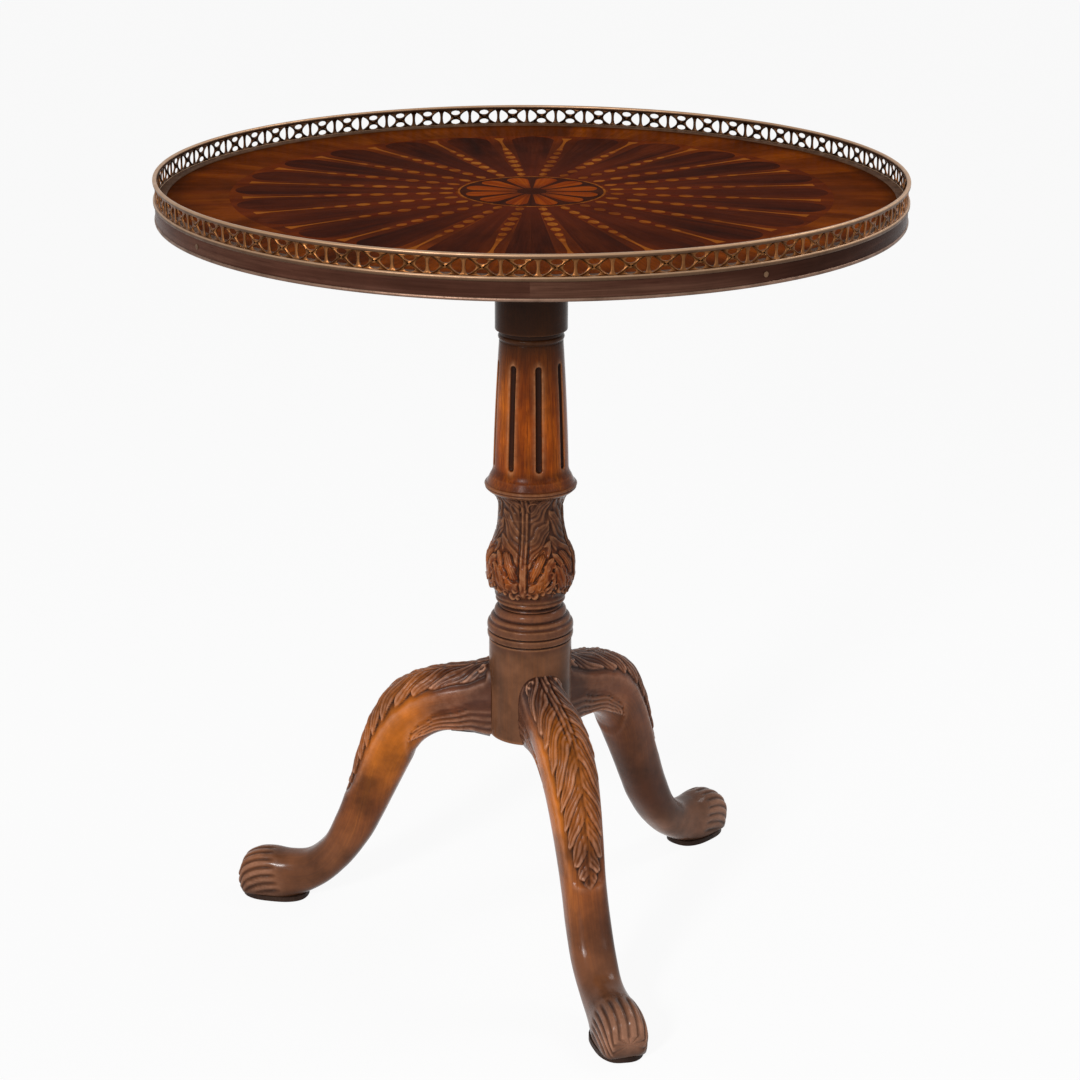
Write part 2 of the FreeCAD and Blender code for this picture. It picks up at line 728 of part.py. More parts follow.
# Stations down a leg, from the column to the toe: the ridge (reach, height), the underside
# (reach, height) and the width between the sides.
LEG_STATIONS = (
    ((30, 281.5), (30, 194.5), 46),
    ((62, 271), (62, 199), 47.5),
    ((93, 264.5), (86, 197), 50),
    ((118, 256), (103, 187), 50.5),
    ((143.5, 238.5), (117, 168.5), 49),
    ((160.5, 211.5), (129, 145), 46),
    ((173.5, 177), (141, 120), 43),
    ((185, 135), (153.5, 94), 41),
    ((199, 96), (167, 69), 41.5),
    ((215.5, 65), (189.5, 39), 41.5),
    ((235, 50), (212, 18), 39.5),
    ((253, 48), (235, 4), 40.5),
    ((270, 49.5), (256, -6), 44),
    ((286, 47), (279, -6), 44),
    ((297, 40), (292, -3), 41),
    ((302, 28), (300, 7), 32),
)
SECTION_SIDES = 12
SECTION_SQUARENESS = 0.78


def squared_oval(middle, up, across):
    """A closed smooth curve about a point, given the vectors to its furthest points each way.

    It is a superellipse: cosine and sine raised to a power under one, which squares the sides.
    """
    points = []
    for number in range(SECTION_SIDES):
        turn = 2 * math.pi * number / SECTION_SIDES
        rise = math.copysign(abs(math.cos(turn)) ** SECTION_SQUARENESS, math.cos(turn))
        spread = math.copysign(abs(math.sin(turn)) ** SECTION_SQUARENESS, math.sin(turn))
        points.append(middle + up * rise + across * spread)
    curve = Part.BSplineCurve()
    curve.interpolate(Points=points, PeriodicFlag=True)
    return Part.Wire([curve.toShape()])


def leg_section(ridge, sole, width):
    """The outline of a leg between a point of its ridge and a point of its underside."""
    top = FreeCAD.Vector(ridge[0], 0, ridge[1])
    bottom = FreeCAD.Vector(sole[0], 0, sole[1])
    return squared_oval((top + bottom) * 0.5, (top - bottom) * 0.5, FreeCAD.Vector(0, width / 2, 0))


def make_legs():
    """Three cabriole legs and the pads they stand on.

    Each leg has a dovetail tongue for the column, and a seat under its root for an arm of the plate.
    """
    leg = Part.makeLoft([leg_section(*station) for station in LEG_STATIONS], True, False)
    drum = rod(size("drum_radius"), (0, 0, 150.0), (0, 0, 320.0))
    foot = size("column_foot")
    half = size("spider_arm_width") / 2 + 0.2
    spider_seat = block_between((0, -half, 150.0), (size("spider_reach") + 0.3, half, foot))
    below_foot = block_between((180.0, -60.0, -20.0), (340.0, 60.0, size("pad_height")))
    leg = leg.cut(Part.makeCompound([drum, spider_seat, below_foot]))
    tongue = dovetail(foot, size("slot_top") - 0.5, size("drum_radius") - size("tongue_depth"),
                      size("drum_radius") + 4.0)
    leg = leg.fuse(tongue).removeSplitter()
    leg = Part.makeSolid(leg.Shells[0])

    middle = FreeCAD.Vector(size("pad_reach"), 0, 0)
    along = FreeCAD.Vector(size("pad_half_length"), 0, 0)
    across = FreeCAD.Vector(0, size("pad_half_width"), 0)
    pad = Part.Face(squared_oval(middle, along, across)).extrude(UP * size("pad_height"))
    for name, bearing in leg_bearings():
        keep(feature("leg_" + name, leg, compass(bearing)), "leg_" + name)
        keep(feature("foot_pad_" + name, pad, compass(bearing)), "foot_pad_" + name)


def make_spider():
    """The three-armed iron plate under the column that ties the legs to it, with its screws."""
    thick = size("spider_thickness")
    low = size("column_foot") - thick
    half = size("spider_arm_width") / 2
    arm = block_between((0, -half, low), (size("spider_reach"), half, low + thick))
    bearings = [bearing for name, bearing in leg_bearings()]
    hub = Part.makeCylinder(size("spider_hub_radius"), thick, FreeCAD.Vector(0, 0, low))
    reach = size("spider_screw_reach")
    screw = wood_screw((reach, 0, low), (reach, 0, low + size("spider_screw_length")))
    screws = spun(screw, bearings)
    plate = hub.fuse(spun(arm, bearings)).removeSplitter().cut(Part.makeCompound(screws))
    keep(feature("spider_plate", plate), "spider_plate")
    keep(feature("spider_screws", Part.makeCompound(screws)), "spider_screws")


# ---------------------------------------------------------------- build and write

def check_and_write():
    """Stops on anything that failed, then writes one file for each sub-part."""
    doc.recompute()
    for thing in doc.Objects:
        if "Invalid" in thing.State or "Error" in thing.State:
            raise RuntimeError("%s failed: %s" % (thing.Name, thing.State))
    os.makedirs("parts", exist_ok=True)
    for thing in made:
        shape = thing.Shape
        if shape.isNull() or not shape.isValid() or not shape.Solids:
            raise RuntimeError("%s has no sound shape" % thing.Label)
        shape.exportStep("parts/%s.step" % thing.Label)
        print("%-20s solids %2d faces %4d volume %.1f" % (
            thing.Label, len(shape.Solids), len(shape.Faces), shape.Volume))


make_tray_board()
make_rim_pins()
make_marquetry()
make_gallery_rails()
make_gallery_fret()
make_bearers()
make_pivot_pins()
make_tilt_block()
make_catch()
make_column()
make_legs()
make_spider()
check_and_write()
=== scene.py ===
import json
import math

import bpy
import numpy as np
from mathutils import Matrix


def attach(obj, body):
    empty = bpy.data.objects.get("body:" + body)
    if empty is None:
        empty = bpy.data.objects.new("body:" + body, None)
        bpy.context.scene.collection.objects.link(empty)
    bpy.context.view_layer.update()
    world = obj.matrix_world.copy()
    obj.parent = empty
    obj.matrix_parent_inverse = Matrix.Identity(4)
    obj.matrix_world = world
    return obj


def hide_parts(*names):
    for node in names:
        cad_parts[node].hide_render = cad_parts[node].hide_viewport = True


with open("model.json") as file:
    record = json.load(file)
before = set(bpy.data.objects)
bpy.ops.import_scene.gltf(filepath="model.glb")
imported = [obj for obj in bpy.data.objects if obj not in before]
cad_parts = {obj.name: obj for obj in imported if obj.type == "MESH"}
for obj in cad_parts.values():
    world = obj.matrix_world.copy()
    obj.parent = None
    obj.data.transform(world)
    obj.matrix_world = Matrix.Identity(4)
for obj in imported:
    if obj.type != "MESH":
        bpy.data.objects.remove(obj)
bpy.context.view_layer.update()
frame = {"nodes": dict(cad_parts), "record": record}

# Tray-top tea table: the carved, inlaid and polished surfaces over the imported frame.
# Shapes are worked out in millimetres. A bearing of 0 is the front, -Y, and grows towards +X.
MM = 0.001
HOOP_SEGMENTS = 540


# ---------------------------------------------------------------- arrays into meshes

def ease(low, high, value):
    """0 below low, 1 above high, and the cubic 3t^2 - 2t^3 between them."""
    part = np.clip((value - low) / (high - low), 0.0, 1.0)
    return part * part * (3.0 - 2.0 * part)


def bump_of(distance, width):
    """A bell: e to the power of minus (distance / width) squared."""
    return np.exp(-(distance / width) ** 2)


def powered(wave, power):
    """The sign of a wave times its size to a power. Under 1 it squares an oval off, over 1 it points it."""
    return np.sign(wave) * np.abs(wave) ** power


def from_nearest(value, step):
    """How far a value lies past the nearest whole number of steps, below zero before it."""
    return (value + step / 2) % step - step / 2


def travel_along(run):
    """How far each point of a run of points lies from the first, along the run."""
    return np.concatenate([[0], np.cumsum(np.hypot(*np.diff(run, axis=0).T))])


def signed_volume(points, faces):
    """Sum over a fan of triangles in each face of the triple product over six."""
    total = 0.0
    for block in faces:
        for turn in range(1, block.shape[1] - 1):
            a, b, c = points[block[:, 0]], points[block[:, turn]], points[block[:, turn + 1]]
            total += float(np.einsum("ij,ij->", a, np.cross(b, c))) / 6.0
    return total


def put_piece(name, points, faces, body, finish, stands_for=(), smooth=True, marks=None):
    """Makes a piece from points in millimetres and blocks of faces, and rides it on a body.

    The faces are turned round as one if the volume they enclose comes out negative.
    marks is a dict of numbers for each point, kept as mesh attributes for the finish to read.
    """
    points = np.asarray(points, float).reshape(-1, 3)
    faces = [np.asarray(block, int) for block in faces if len(block)]
    if signed_volume(points, faces) < 0:
        faces = [block[:, ::-1] for block in faces]
    mesh = bpy.data.meshes.new(name)
    mesh.vertices.add(len(points))
    mesh.vertices.foreach_set("co", (points * MM).astype(np.float32).ravel())
    sizes = np.concatenate([np.full(len(block), block.shape[1]) for block in faces])
    mesh.loops.add(int(sizes.sum()))
    corners = np.concatenate([block.ravel() for block in faces])
    mesh.loops.foreach_set("vertex_index", corners.astype(np.int32))
    mesh.polygons.add(len(sizes))
    mesh.polygons.foreach_set("loop_start", (np.cumsum(sizes) - sizes).astype(np.int32))
    mesh.update(calc_edges=True)
    mesh.polygons.foreach_set("use_smooth", np.full(len(sizes), smooth))
    for label, values in (marks or {}).items():
        values = np.asarray(values, np.float32)
        kind = "FLOAT_VECTOR" if values.ndim > 1 and values.shape[-1] == 3 else "FLOAT"
        layer = mesh.attributes.new(label, kind, "POINT")
        layer.data.foreach_set("vector" if kind == "FLOAT_VECTOR" else "value", values.ravel())
    mesh.materials.append(FINISHES[finish])
    mesh.validate()
    piece = bpy.data.objects.new(name, mesh)
    bpy.context.scene.collection.objects.link(piece)
    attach(piece, body)
    if stands_for:
        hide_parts(*stands_for)


def wrapped_faces(rows, columns, first=0):
    """Four-sided faces of a grid whose last column joins its first."""
    row = np.arange(rows - 1)[:, None] * columns
    here = np.arange(columns)[None, :]
    after = (here + 1) % columns
    corners = np.stack([row + here, row + after, row + columns + after, row + columns + here], -1)
    return corners.reshape(-1, 4) + first


def capped(grid):
    """Points and faces of a (rows, columns, 3) grid closed round, with a pole in the middle of each end."""
    rows, columns = grid.shape[:2]
    points = np.concatenate([grid.reshape(-1, 3), grid[0].mean(0)[None], grid[-1].mean(0)[None]])
    here = np.arange(columns)
    after = (here + 1) % columns
    pole = rows * columns
    start = np.stack([np.full(columns, pole), after, here], -1)
    last = (rows - 1) * columns
    end = np.stack([np.full(columns, pole + 1), last + here, last + after], -1)
    return points, [wrapped_faces(rows, columns), start, end]


def with_poles(values):
    """A (rows, columns) array of marks as a list, with the two poles' own at its end."""
    return np.concatenate([values.reshape(-1), [values[0].mean(), values[-1].mean()]])


def repeated(points, faces, copies):
    """One shape repeated: points is (copies, n, 3), and each copy's faces count on from the last."""
    count = points.shape[1]
    shift = np.arange(copies)[:, None, None] * count
    return points.reshape(-1, 3), [(block[None] + shift).reshape(-1, block.shape[1]) for block in faces]


def softened(values, rows, columns):
    """A running mean, twice each way, over a grid that is closed round its columns."""
    for _ in range(2):
        padded = np.pad(values, ((rows, rows), (0, 0)), mode="edge")
        summed = np.cumsum(np.pad(padded, ((1, 0), (0, 0))), axis=0)
        values = (summed[2 * rows + 1:] - summed[:-2 * rows - 1]) / (2 * rows + 1)
        padded = np.pad(values, ((0, 0), (columns, columns)), mode="wrap")
        summed = np.cumsum(np.pad(padded, ((0, 0), (1, 0))), axis=1)
        values = (summed[:, 2 * columns + 1:] - summed[:, :-2 * columns - 1]) / (2 * columns + 1)
    return values


def recess_and_crest(relief, rows, columns, depth):
    """How far each point lies under and over the softened relief round it, as marks from 0 to 1 at depth."""
    offset = relief - softened(relief, rows, columns)
    return np.clip(-offset / depth, 0, 1), np.clip(offset / depth, 0, 1)


def along_outline(corners, step):
    """Evenly spaced points on a run of corners in a plane.

    Each corner is (x, y) or (x, y, belly). Between corners a point is the straight mix of the two,
    moved square to the side by 4 * belly * t * (1 - t), to the right of the way for a positive belly.
    """
    runs = []
    for here, there in zip(corners[:-1], corners[1:]):
        start, stop = np.array(here[:2], float), np.array(there[:2], float)
        belly = here[2] if len(here) > 2 else 0.0
        way = stop - start
        length = max(np.hypot(*way), 1e-6)
        t = np.linspace(0, 1, max(3, int(length / step * 2)), endpoint=False)[:, None]
        square = np.array([way[1], -way[0]]) / length
        runs.append(start + way * t + square * (4 * belly * t * (1 - t)))
    run = np.concatenate(runs + [np.array([corners[-1][:2]], float)])
    travel = travel_along(run)
    spots = np.linspace(0, travel[-1], max(2, int(round(travel[-1] / step)) + 1))
    return np.stack([np.interp(spots, travel, run[:, axis]) for axis in range(2)], -1)


def eased_loop(corners, ease_by):
    """A closed outline with each corner rounded: a quadratic curve from one side to the next."""
    corners = np.asarray(corners, float)
    before = np.roll(corners, 1, 0) - corners
    after = np.roll(corners, -1, 0) - corners
    long_before = np.hypot(*before.T)[:, None]
    long_after = np.hypot(*after.T)[:, None]
    reach = np.minimum(ease_by, 0.45 * np.minimum(long_before, long_after))
    first = corners + before / long_before * reach
    last = corners + after / long_after * reach
    t = np.linspace(0, 1, 4)[None, :, None]
    curve = first[:, None] * (1 - t) ** 2 + corners[:, None] * (2 * t * (1 - t)) + last[:, None] * t ** 2
    return curve.reshape(-1, 2)


def around(reach, across, height, bearing):
    """Points turned to a bearing: x is reach sin b + across cos b, and y is across sin b - reach cos b."""
    turn = np.radians(bearing)
    x = reach * np.sin(turn) + across * np.cos(turn)
    y = across * np.sin(turn) - reach * np.cos(turn)
    return np.stack(np.broadcast_arrays(x, y, height), -1)


def hoop(name, finish, slot, stands_for, ease_by, corners):
    """A ring of the tray: a closed outline of (radius, height) with eased corners, carried round Z."""
    loop = eased_loop(corners, ease_by)
    bearings = np.arange(HOOP_SEGMENTS)[:, None] * 360.0 / HOOP_SEGMENTS
    grid = around(loop[None, :, 0], 0.0, loop[None, :, 1], bearings)
    rows, columns = grid.shape[:2]
    faces = wrapped_faces(rows + 1, columns) % (rows * columns)
    put_piece(name, grid, [faces], "top", finish, stands_for)


# ---------------------------------------------------------------- finishes

def plug(tree, socket, value):
    """Links another node's output to a socket, or sets the socket to a number or a colour."""
    if isinstance(value, bpy.types.NodeSocket):
        tree.links.new(value, socket)
    else:
        socket.default_value = value


def add_node(tree, kind, sockets=None, **settings):
    """A shader node with its settings, and what each of its sockets takes."""
    node = tree.nodes.new("ShaderNode" + kind)
    for label, value in settings.items():
        setattr(node, label, value)
    for key, value in (sockets or {}).items():
        plug(tree, node.inputs[key], value)
    return node


def maths(tree, operation, first, second=0.0, clamp=False):
    """The output of a Math node."""
    return add_node(tree, "Math", {0: first, 1: second}, operation=operation, use_clamp=clamp).outputs[0]


def times(tree, first, second):
    """The product of two values."""
    return maths(tree, "MULTIPLY", first, second)


def blend_colours(tree, factor, first, second, how="MIX"):
    """The output of a colour Mix node."""
    sockets = {0: factor, 6: first, 7: second}
    return add_node(tree, "Mix", sockets, data_type="RGBA", blend_type=how).outputs[2]


def spread(tree, value, low, high, to_low=0.0, to_high=1.0):
    """The output of a Map Range node that carries low..high to to_low..to_high."""
    return add_node(tree, "MapRange", {0: value, 1: low, 2: high, 3: to_low, 4: to_high}).outputs[0]


def noise(tree, vector, scale, detail=3.0, roughness=0.55, distortion=0.0):
    """The grey output of a Noise texture."""
    return add_node(tree, "TexNoise", {"Vector": vector, "Scale": scale, "Detail": detail,
                                       "Roughness": roughness, "Distortion": distortion}).outputs[0]


def stretched(tree, vector, by):
    """A vector times three numbers, one for each axis."""
    return add_node(tree, "VectorMath", {0: vector, 1: by}, operation="MULTIPLY").outputs[0]


def new_group(name, takes, gives):
    """A node group, with what it takes and gives as names and kinds of socket."""
    group = bpy.data.node_groups.new(name, "ShaderNodeTree")
    for way, sockets in (("INPUT", takes), ("OUTPUT", gives)):
        for label, kind in sockets.items():
            group.interface.new_socket(label, in_out=way, socket_type="NodeSocket" + kind)
    return group, group.nodes.new("NodeGroupInput").outputs, group.nodes.new("NodeGroupOutput").inputs


def use_group(tree, group, sockets):
    """The outputs of a node group placed in a tree."""
    return add_node(tree, "Group", sockets, node_tree=group).outputs


def make_figure_group():
    """Wood figure. The grain runs along Z of the vector: broad bands, fine streaks and short pores."""
    group, takes, gives = new_group(
        "wood figure",
        {"Vector": "Vector", "Dark": "Color", "Middle": "Color", "Light": "Color", "Band size": "Float",
         "Streaks": "Float"},
        {"Color": "Color", "Height": "Float", "Gloss loss": "Float"})
    vector = takes["Vector"]
    scaled = add_node(group, "VectorMath", {0: vector, "Scale": takes["Band size"]}, operation="SCALE")
    band = noise(group, stretched(group, scaled.outputs[0], (1.0, 1.0, 0.12)), 34.0, 4.0, 0.5, 0.8)
    streak = noise(group, stretched(group, vector, (1.0, 1.0, 0.035)), 620.0, 3.0, 0.6)
    pore = noise(group, stretched(group, vector, (1.0, 1.0, 0.06)), 1500.0, 2.0, 0.5)
    low = blend_colours(group, spread(group, band, 0.28, 0.5), takes["Dark"], takes["Middle"])
    whole = blend_colours(group, spread(group, band, 0.48, 0.72), low, takes["Light"])
    thin = spread(group, streak, 0.35, 0.68)
    shade = times(group, maths(group, "SUBTRACT", 1.0, thin), takes["Streaks"])
    streaked = blend_colours(group, shade, whole, takes["Dark"])
    hole = spread(group, pore, 0.60, 0.68, 0.0, PORE_SHARE)
    plug(group, gives["Color"], blend_colours(group, hole, streaked, takes["Dark"]))
    plug(group, gives["Height"], maths(group, "SUBTRACT", times(group, thin, 0.25), hole))
    plug(group, gives["Gloss loss"], maths(group, "ADD", hole, times(group, shade, 0.4)))
    return group


def make_polish_and_highlight_group():
    """Old polish: dark wax in recesses, worn crests lighter with a painted highlight, and a slow cloud over
    both.
    """
    group, takes, gives = new_group(
        "old polish and crest highlight",
        {"Vector": "Vector", "Color": "Color", "Wax": "Color", "Worn highlight": "Color", "Recess": "Float",
         "Wear_and_highlight": "Float", "Cloud": "Float"},
        {"Color": "Color", "Roughness": "Float"})
    cloud = noise(group, takes["Vector"], 22.0, 4.0, 0.6)
    speck = noise(group, takes["Vector"], 160.0, 4.0, 0.7)
    dirt = times(group, takes["Recess"], spread(group, speck, 0.25, 0.6, 0.75, 1.15))
    soft = times(group, spread(group, cloud, 0.38, 0.70), takes["Cloud"])
    clouded = blend_colours(group, soft, takes["Color"], takes["Wax"])
    waxed = blend_colours(group, maths(group, "MINIMUM", dirt, 0.94), clouded, takes["Wax"])
    worn_highlight_share = maths(group, "MULTIPLY", takes["Wear_and_highlight"], spread(group, speck, 0.3, 0.65, 0.35, 1.0), True)
    plug(group, gives["Color"], blend_colours(group, worn_highlight_share, waxed, takes["Worn highlight"]))
    matt = maths(group, "ADD", times(group, dirt, 0.22), times(group, soft, 0.12))
    plug(group, gives["Roughness"], maths(group, "ADD", matt, spread(group, speck, 0.2, 0.8, -0.03, 0.05)))
    return group


def make_tarnish_group():
    """Old metal: a dull cloud over the clean colour, dark specks, and small dents in its height."""
    group, takes, gives = new_group(
        "tarnish",
        {"Vector": "Vector", "Clean": "Color", "Dull": "Color", "Amount": "Float"},
        {"Color": "Color", "Roughness": "Float", "Height": "Float"})
    cloud = noise(group, takes["Vector"], 60.0, 5.0, 0.65)
    speck = noise(group, takes["Vector"], 700.0, 3.0, 0.6)
    dull = maths(group, "MULTIPLY", spread(group, cloud, 0.3, 0.68), takes["Amount"], True)
    spots = times(group, spread(group, speck, 0.6, 0.72), takes["Amount"])
    tinted = blend_colours(group, dull, takes["Clean"], takes["Dull"])
    plug(group, gives["Color"], blend_colours(group, spots, tinted, takes["Dull"]))
    plug(group, gives["Roughness"], maths(group, "ADD", times(group, dull, 0.25), times(group, spots, 0.15)))
    plug(group, gives["Height"], maths(group, "ADD", cloud, times(group, speck, 0.3)))
    return group


# Depth in metres of the pores and dents in a finish, and the reach at which radial and hoop grain
# measures its way round.
PORE_DEPTH, DENT_DEPTH, GRAIN_RADIUS = 0.00012, 0.00008, 0.2
# How much of a pore's colour, height and gloss shows.
PORE_SHARE = 0.5
FIGURE = make_figure_group()
POLISH_AND_HIGHLIGHT = make_polish_and_highlight_group()
TARNISH = make_tarnish_group()


def rgb(red, green, blue):
    """A colour given as screen values from 0 to 255, made linear: ((c + 0.055) / 1.055) to the power 2.4."""
    return tuple(((c / 255 + 0.055) / 1.055) ** 2.4 if c > 10 else c / 255 / 12.92
                 for c in (red, green, blue)) + (1.0,)


def start_finish(name):
    """A new material with its tree and its Principled shader."""
    finish = bpy.data.materials.new(name)
    finish.use_nodes = True
    tree = finish.node_tree
    return finish, tree, tree.nodes["Principled BSDF"]


def grain_vector(tree, place, run):
    """The vector the figure follows, with the grain along its Z.

    run is "carved" for the piece's own grain attribute, "radial" for grain that runs out from the
    Z axis, "hoop" for grain round it, or one of "x", "y", "z" for grain along that axis.
    """
    if run == "carved":
        return add_node(tree, "Attribute", attribute_name="grain").outputs["Vector"]
    parts = add_node(tree, "SeparateXYZ", {0: place}).outputs
    if run in ("radial", "hoop"):
        turn = times(tree, maths(tree, "ARCTAN2", parts[0], parts[1]), GRAIN_RADIUS)
        ways = (turn, reach_of(tree, place)) if run == "radial" else (reach_of(tree, place), turn)
        return add_node(tree, "CombineXYZ", {0: ways[0], 1: parts[2], 2: ways[1]}).outputs[0]
    order = {"x": (1, 2, 0), "y": (2, 0, 1), "z": (0, 1, 2)}[run]
    return add_node(tree, "CombineXYZ", {slot: parts[axis] for slot, axis in enumerate(order)}).outputs[0]


def reach_of(tree, place):
    """The distance from the Z axis."""
    flat = stretched(tree, place, (1.0, 1.0, 0.0))
    return add_node(tree, "VectorMath", {0: flat}, operation="LENGTH").outputs["Value"]


def washed(tree, place, colour, washes):
    """Lays thin coats of colour over one another.

    A wash is its colour, its strength and its spans (measure, low, high). Each span gives a share
    from 0 at low to 1 at high, or between two shares that follow, and the shares are multiplied.
    A measure is the side (X), the height (Z) or the reach from the Z axis, in metres.
    """
    parts = add_node(tree, "SeparateXYZ", {0: place}).outputs
    measures = {"side": parts[0], "height": parts[2], "reach": reach_of(tree, place)}
    for tint, strength, *spans in washes:
        share = strength
        for measure, *span in spans:
            share = times(tree, spread(tree, measures[measure], *span), share)
        colour = blend_colours(tree, share, colour, rgb(*tint))
    return colour


def wood(name, dark, middle, light, run="z", band=1.0, streaks=0.5, gloss=0.36, shine=0.1, wax=(14, 8, 5),
         worn_highlight=None, cloud=0.35, carved=False, tone=None):
    """A polished wood. tone is its washes, or a function that recolours the figure under the polish."""
    finish, tree, shader = start_finish(name)
    place = add_node(tree, "TexCoord").outputs["Object"]
    figure = use_group(tree, FIGURE, {
        "Vector": grain_vector(tree, place, run), "Dark": rgb(*dark), "Middle": rgb(*middle),
        "Light": rgb(*light), "Band size": band, "Streaks": streaks})
    marks = {"Recess": 0.0, "Wear_and_highlight": 0.0}
    if carved:
        marks = {label: add_node(tree, "Attribute", attribute_name=label.lower()).outputs["Fac"]
                 for label in marks}
    polish = use_group(tree, POLISH_AND_HIGHLIGHT, {
        "Vector": place, "Color": toned(tree, place, figure["Color"], tone), "Wax": rgb(*wax),
        "Cloud": cloud, "Worn highlight": rgb(*(worn_highlight or light)), **marks})
    rough = maths(tree, "ADD", polish["Roughness"], times(tree, figure["Gloss loss"], 0.12))
    dent = add_node(tree, "Bump", {"Height": figure["Height"], "Strength": 0.5, "Distance": PORE_DEPTH})
    plug(tree, shader.inputs["Base Color"], polish["Color"])
    plug(tree, shader.inputs["Roughness"], maths(tree, "ADD", rough, gloss, True))
    plug(tree, shader.inputs["Normal"], dent.outputs[0])
    shader.inputs["Specular IOR Level"].default_value = shine
    return finish


def metal(name, clean, dull, amount, rough, tone=None, bare=1.0, shine=0.5):
    """A worked metal under its tarnish, which tone may recolour. bare is 0 under a coat of old lacquer."""
    finish, tree, shader = start_finish(name)
    place = add_node(tree, "TexCoord").outputs["Object"]
    old = use_group(tree, TARNISH, {"Vector": place, "Clean": rgb(*clean), "Dull": rgb(*dull),
                                    "Amount": amount})
    dent = add_node(tree, "Bump", {"Height": old["Height"], "Strength": 0.6, "Distance": DENT_DEPTH})
    plug(tree, shader.inputs["Base Color"], toned(tree, place, old["Color"], tone))
    plug(tree, shader.inputs["Roughness"], maths(tree, "ADD", old["Roughness"], rough, True))
    plug(tree, shader.inputs["Normal"], dent.outputs[0])
    shader.inputs["Metallic"].default_value = bare
    shader.inputs["Specular IOR Level"].default_value = shine
    return finish


def toned(tree, place, colour, tone):
    """The colour under a finish's tone: none, washes, or a function of its own."""
    if tone is None:
        return colour
    return tone(tree, place, colour) if callable(tone) else washed(tree, place, colour, tone)


def veneer(name, dark, middle, light, band, cloud, tone=None):
    """A veneer of the tray: its grain runs out from the middle, and it mirrors next to nothing."""
    return wood(name, dark, middle, light, "radial", band, gloss=0.3, shine=0.0005, cloud=cloud, tone=tone)


def leaf_tone(tree, place, colour, count, offset, amount):
    """Gives each of count equal sectors its own shade, from white noise on the number of the sector."""
    parts = add_node(tree, "SeparateXYZ", {0: place}).outputs
    turn = times(tree, maths(tree, "ARCTAN2", parts[0], parts[1]), count / (2 * math.pi))
    sector = maths(tree, "FLOOR", maths(tree, "ADD", turn, offset))
    chance = add_node(tree, "TexWhiteNoise", {"W": sector}, noise_dimensions="1D").outputs["Value"]
    shade = spread(tree, chance, 0.0, 1.0, 1.0 - amount, 1.0 + amount)
    grey = add_node(tree, "CombineXYZ", {0: shade, 1: shade, 2: shade}).outputs[0]
    return blend_colours(tree, 1.0, colour, grey, "MULTIPLY")


def petal_tone(tree, place, colour):
    """Dark petals, redder towards the middle of the tray, each with its own shade."""
    warm = washed(tree, place, colour, [((98, 34, 8), 0.62, ("reach", 0.19, 0.07))])
    return leaf_tone(tree, place, warm, 24, 0.5, 0.22)


def border_tone(tree, place, colour):
    """The border's own cross-banded leaves, sixteen round the tray, darker against the gallery."""
    leaves = leaf_tone(tree, place, colour, 16, 0.3, 0.12)
    return washed(tree, place, leaves, [((48, 22, 6), 0.7, ("reach", 0.318, 0.338))])


def rail_highlight_and_shade(tree, place, colour):
    """Rails with a painted highlight along their upper edges and painted shade under them."""
    height = add_node(tree, "SeparateXYZ", {0: place}).outputs[2]
    foot = times(tree, spread(tree, height, 0.7420, 0.7428), spread(tree, height, 0.7500, 0.7490))
    bright = maths(tree, "MAXIMUM", foot, spread(tree, height, 0.7600, 0.7609))
    dark = blend_colours(tree, 0.75, colour, rgb(74, 52, 39))
    return blend_colours(tree, bright, dark, blend_colours(tree, 0.65, colour, rgb(176, 142, 112)))


# The ground between the petals is dark where they widen, and the shells are scorched at their inner ends.
FIELD_WASHES = [((70, 26, 6), 0.62, ("reach", 0.13, 0.19), ("reach", 0.262, 0.225))]
SHELL_WASHES = [((84, 34, 10), 0.8, ("reach", 0.034, 0.014))]
# Red-brown under the beads, lighter where the chain runs out as a line.
CHAIN_WASHES = [((152, 82, 22), 1.0, ("reach", 0.19, 0.235))]
# The strip is darker on its inner side, towards the tray.
STRIP_WASHES = [((46, 32, 24), 0.8, ("reach", 0.3420, 0.3414))]
COLUMN_WASHES = [
    ((112, 79, 58), 0.85, ("height", 0.350, 0.300)),  # brown drum, greyed by a painted reflection of the white surround
    ((86, 55, 44), 0.8, ("height", 0.296, 0.306), ("height", 0.372, 0.356)),  # dark rings
    ((73, 48, 36), 0.88, ("height", 0.390, 0.412), ("height", 0.476, 0.458)),  # upper vase and lip: painted shade, darker than the lit belly below
    ((66, 38, 24), 0.3, ("height", 0.338, 0.352), ("height", 0.420, 0.396)),  # bowl of the vase
    ((50, 28, 14), 0.96, ("height", 0.545, 0.604))]  # painted shadow of the tray on the top of the shaft and the head
LEG_WASHES = [
    ((204, 114, 30), 1.0, ("reach", 0.085, 0.115), ("reach", 0.190, 0.155), ("height", 0.110, 0.165),
     ("side", 0.045, 0.085, 0.6, 0.1)),  # painted light: warm orange knees, weaker towards +X
    ((94, 58, 44), 0.66, ("side", 0.055, 0.090)),  # painted shade towards +X, on the right leg and the front leg's far end
    ((72, 46, 38), 0.88, ("reach", 0.120, 0.055)),  # painted shade and greyish painted reflection near the column
    ((102, 67, 47), 0.8, ("height", 0.18, 0.06)),  # brown shin
    ((70, 34, 22), 0.5, ("side", 0.060, 0.090), ("height", 0.052, 0.070),
     ("height", 0.135, 0.100)),  # painted shade towards +X at ankle height: front ankle and right leg
    ((78, 53, 40), 0.3, ("height", 0.052, 0.020)),  # foot
    ((158, 112, 88), 0.75, ("side", 0.060, 0.090), ("height", 0.052, 0.036)),  # painted light on the front and right feet
    ((50, 33, 25), 0.85, ("height", 0.017, 0.004))]  # dark sole

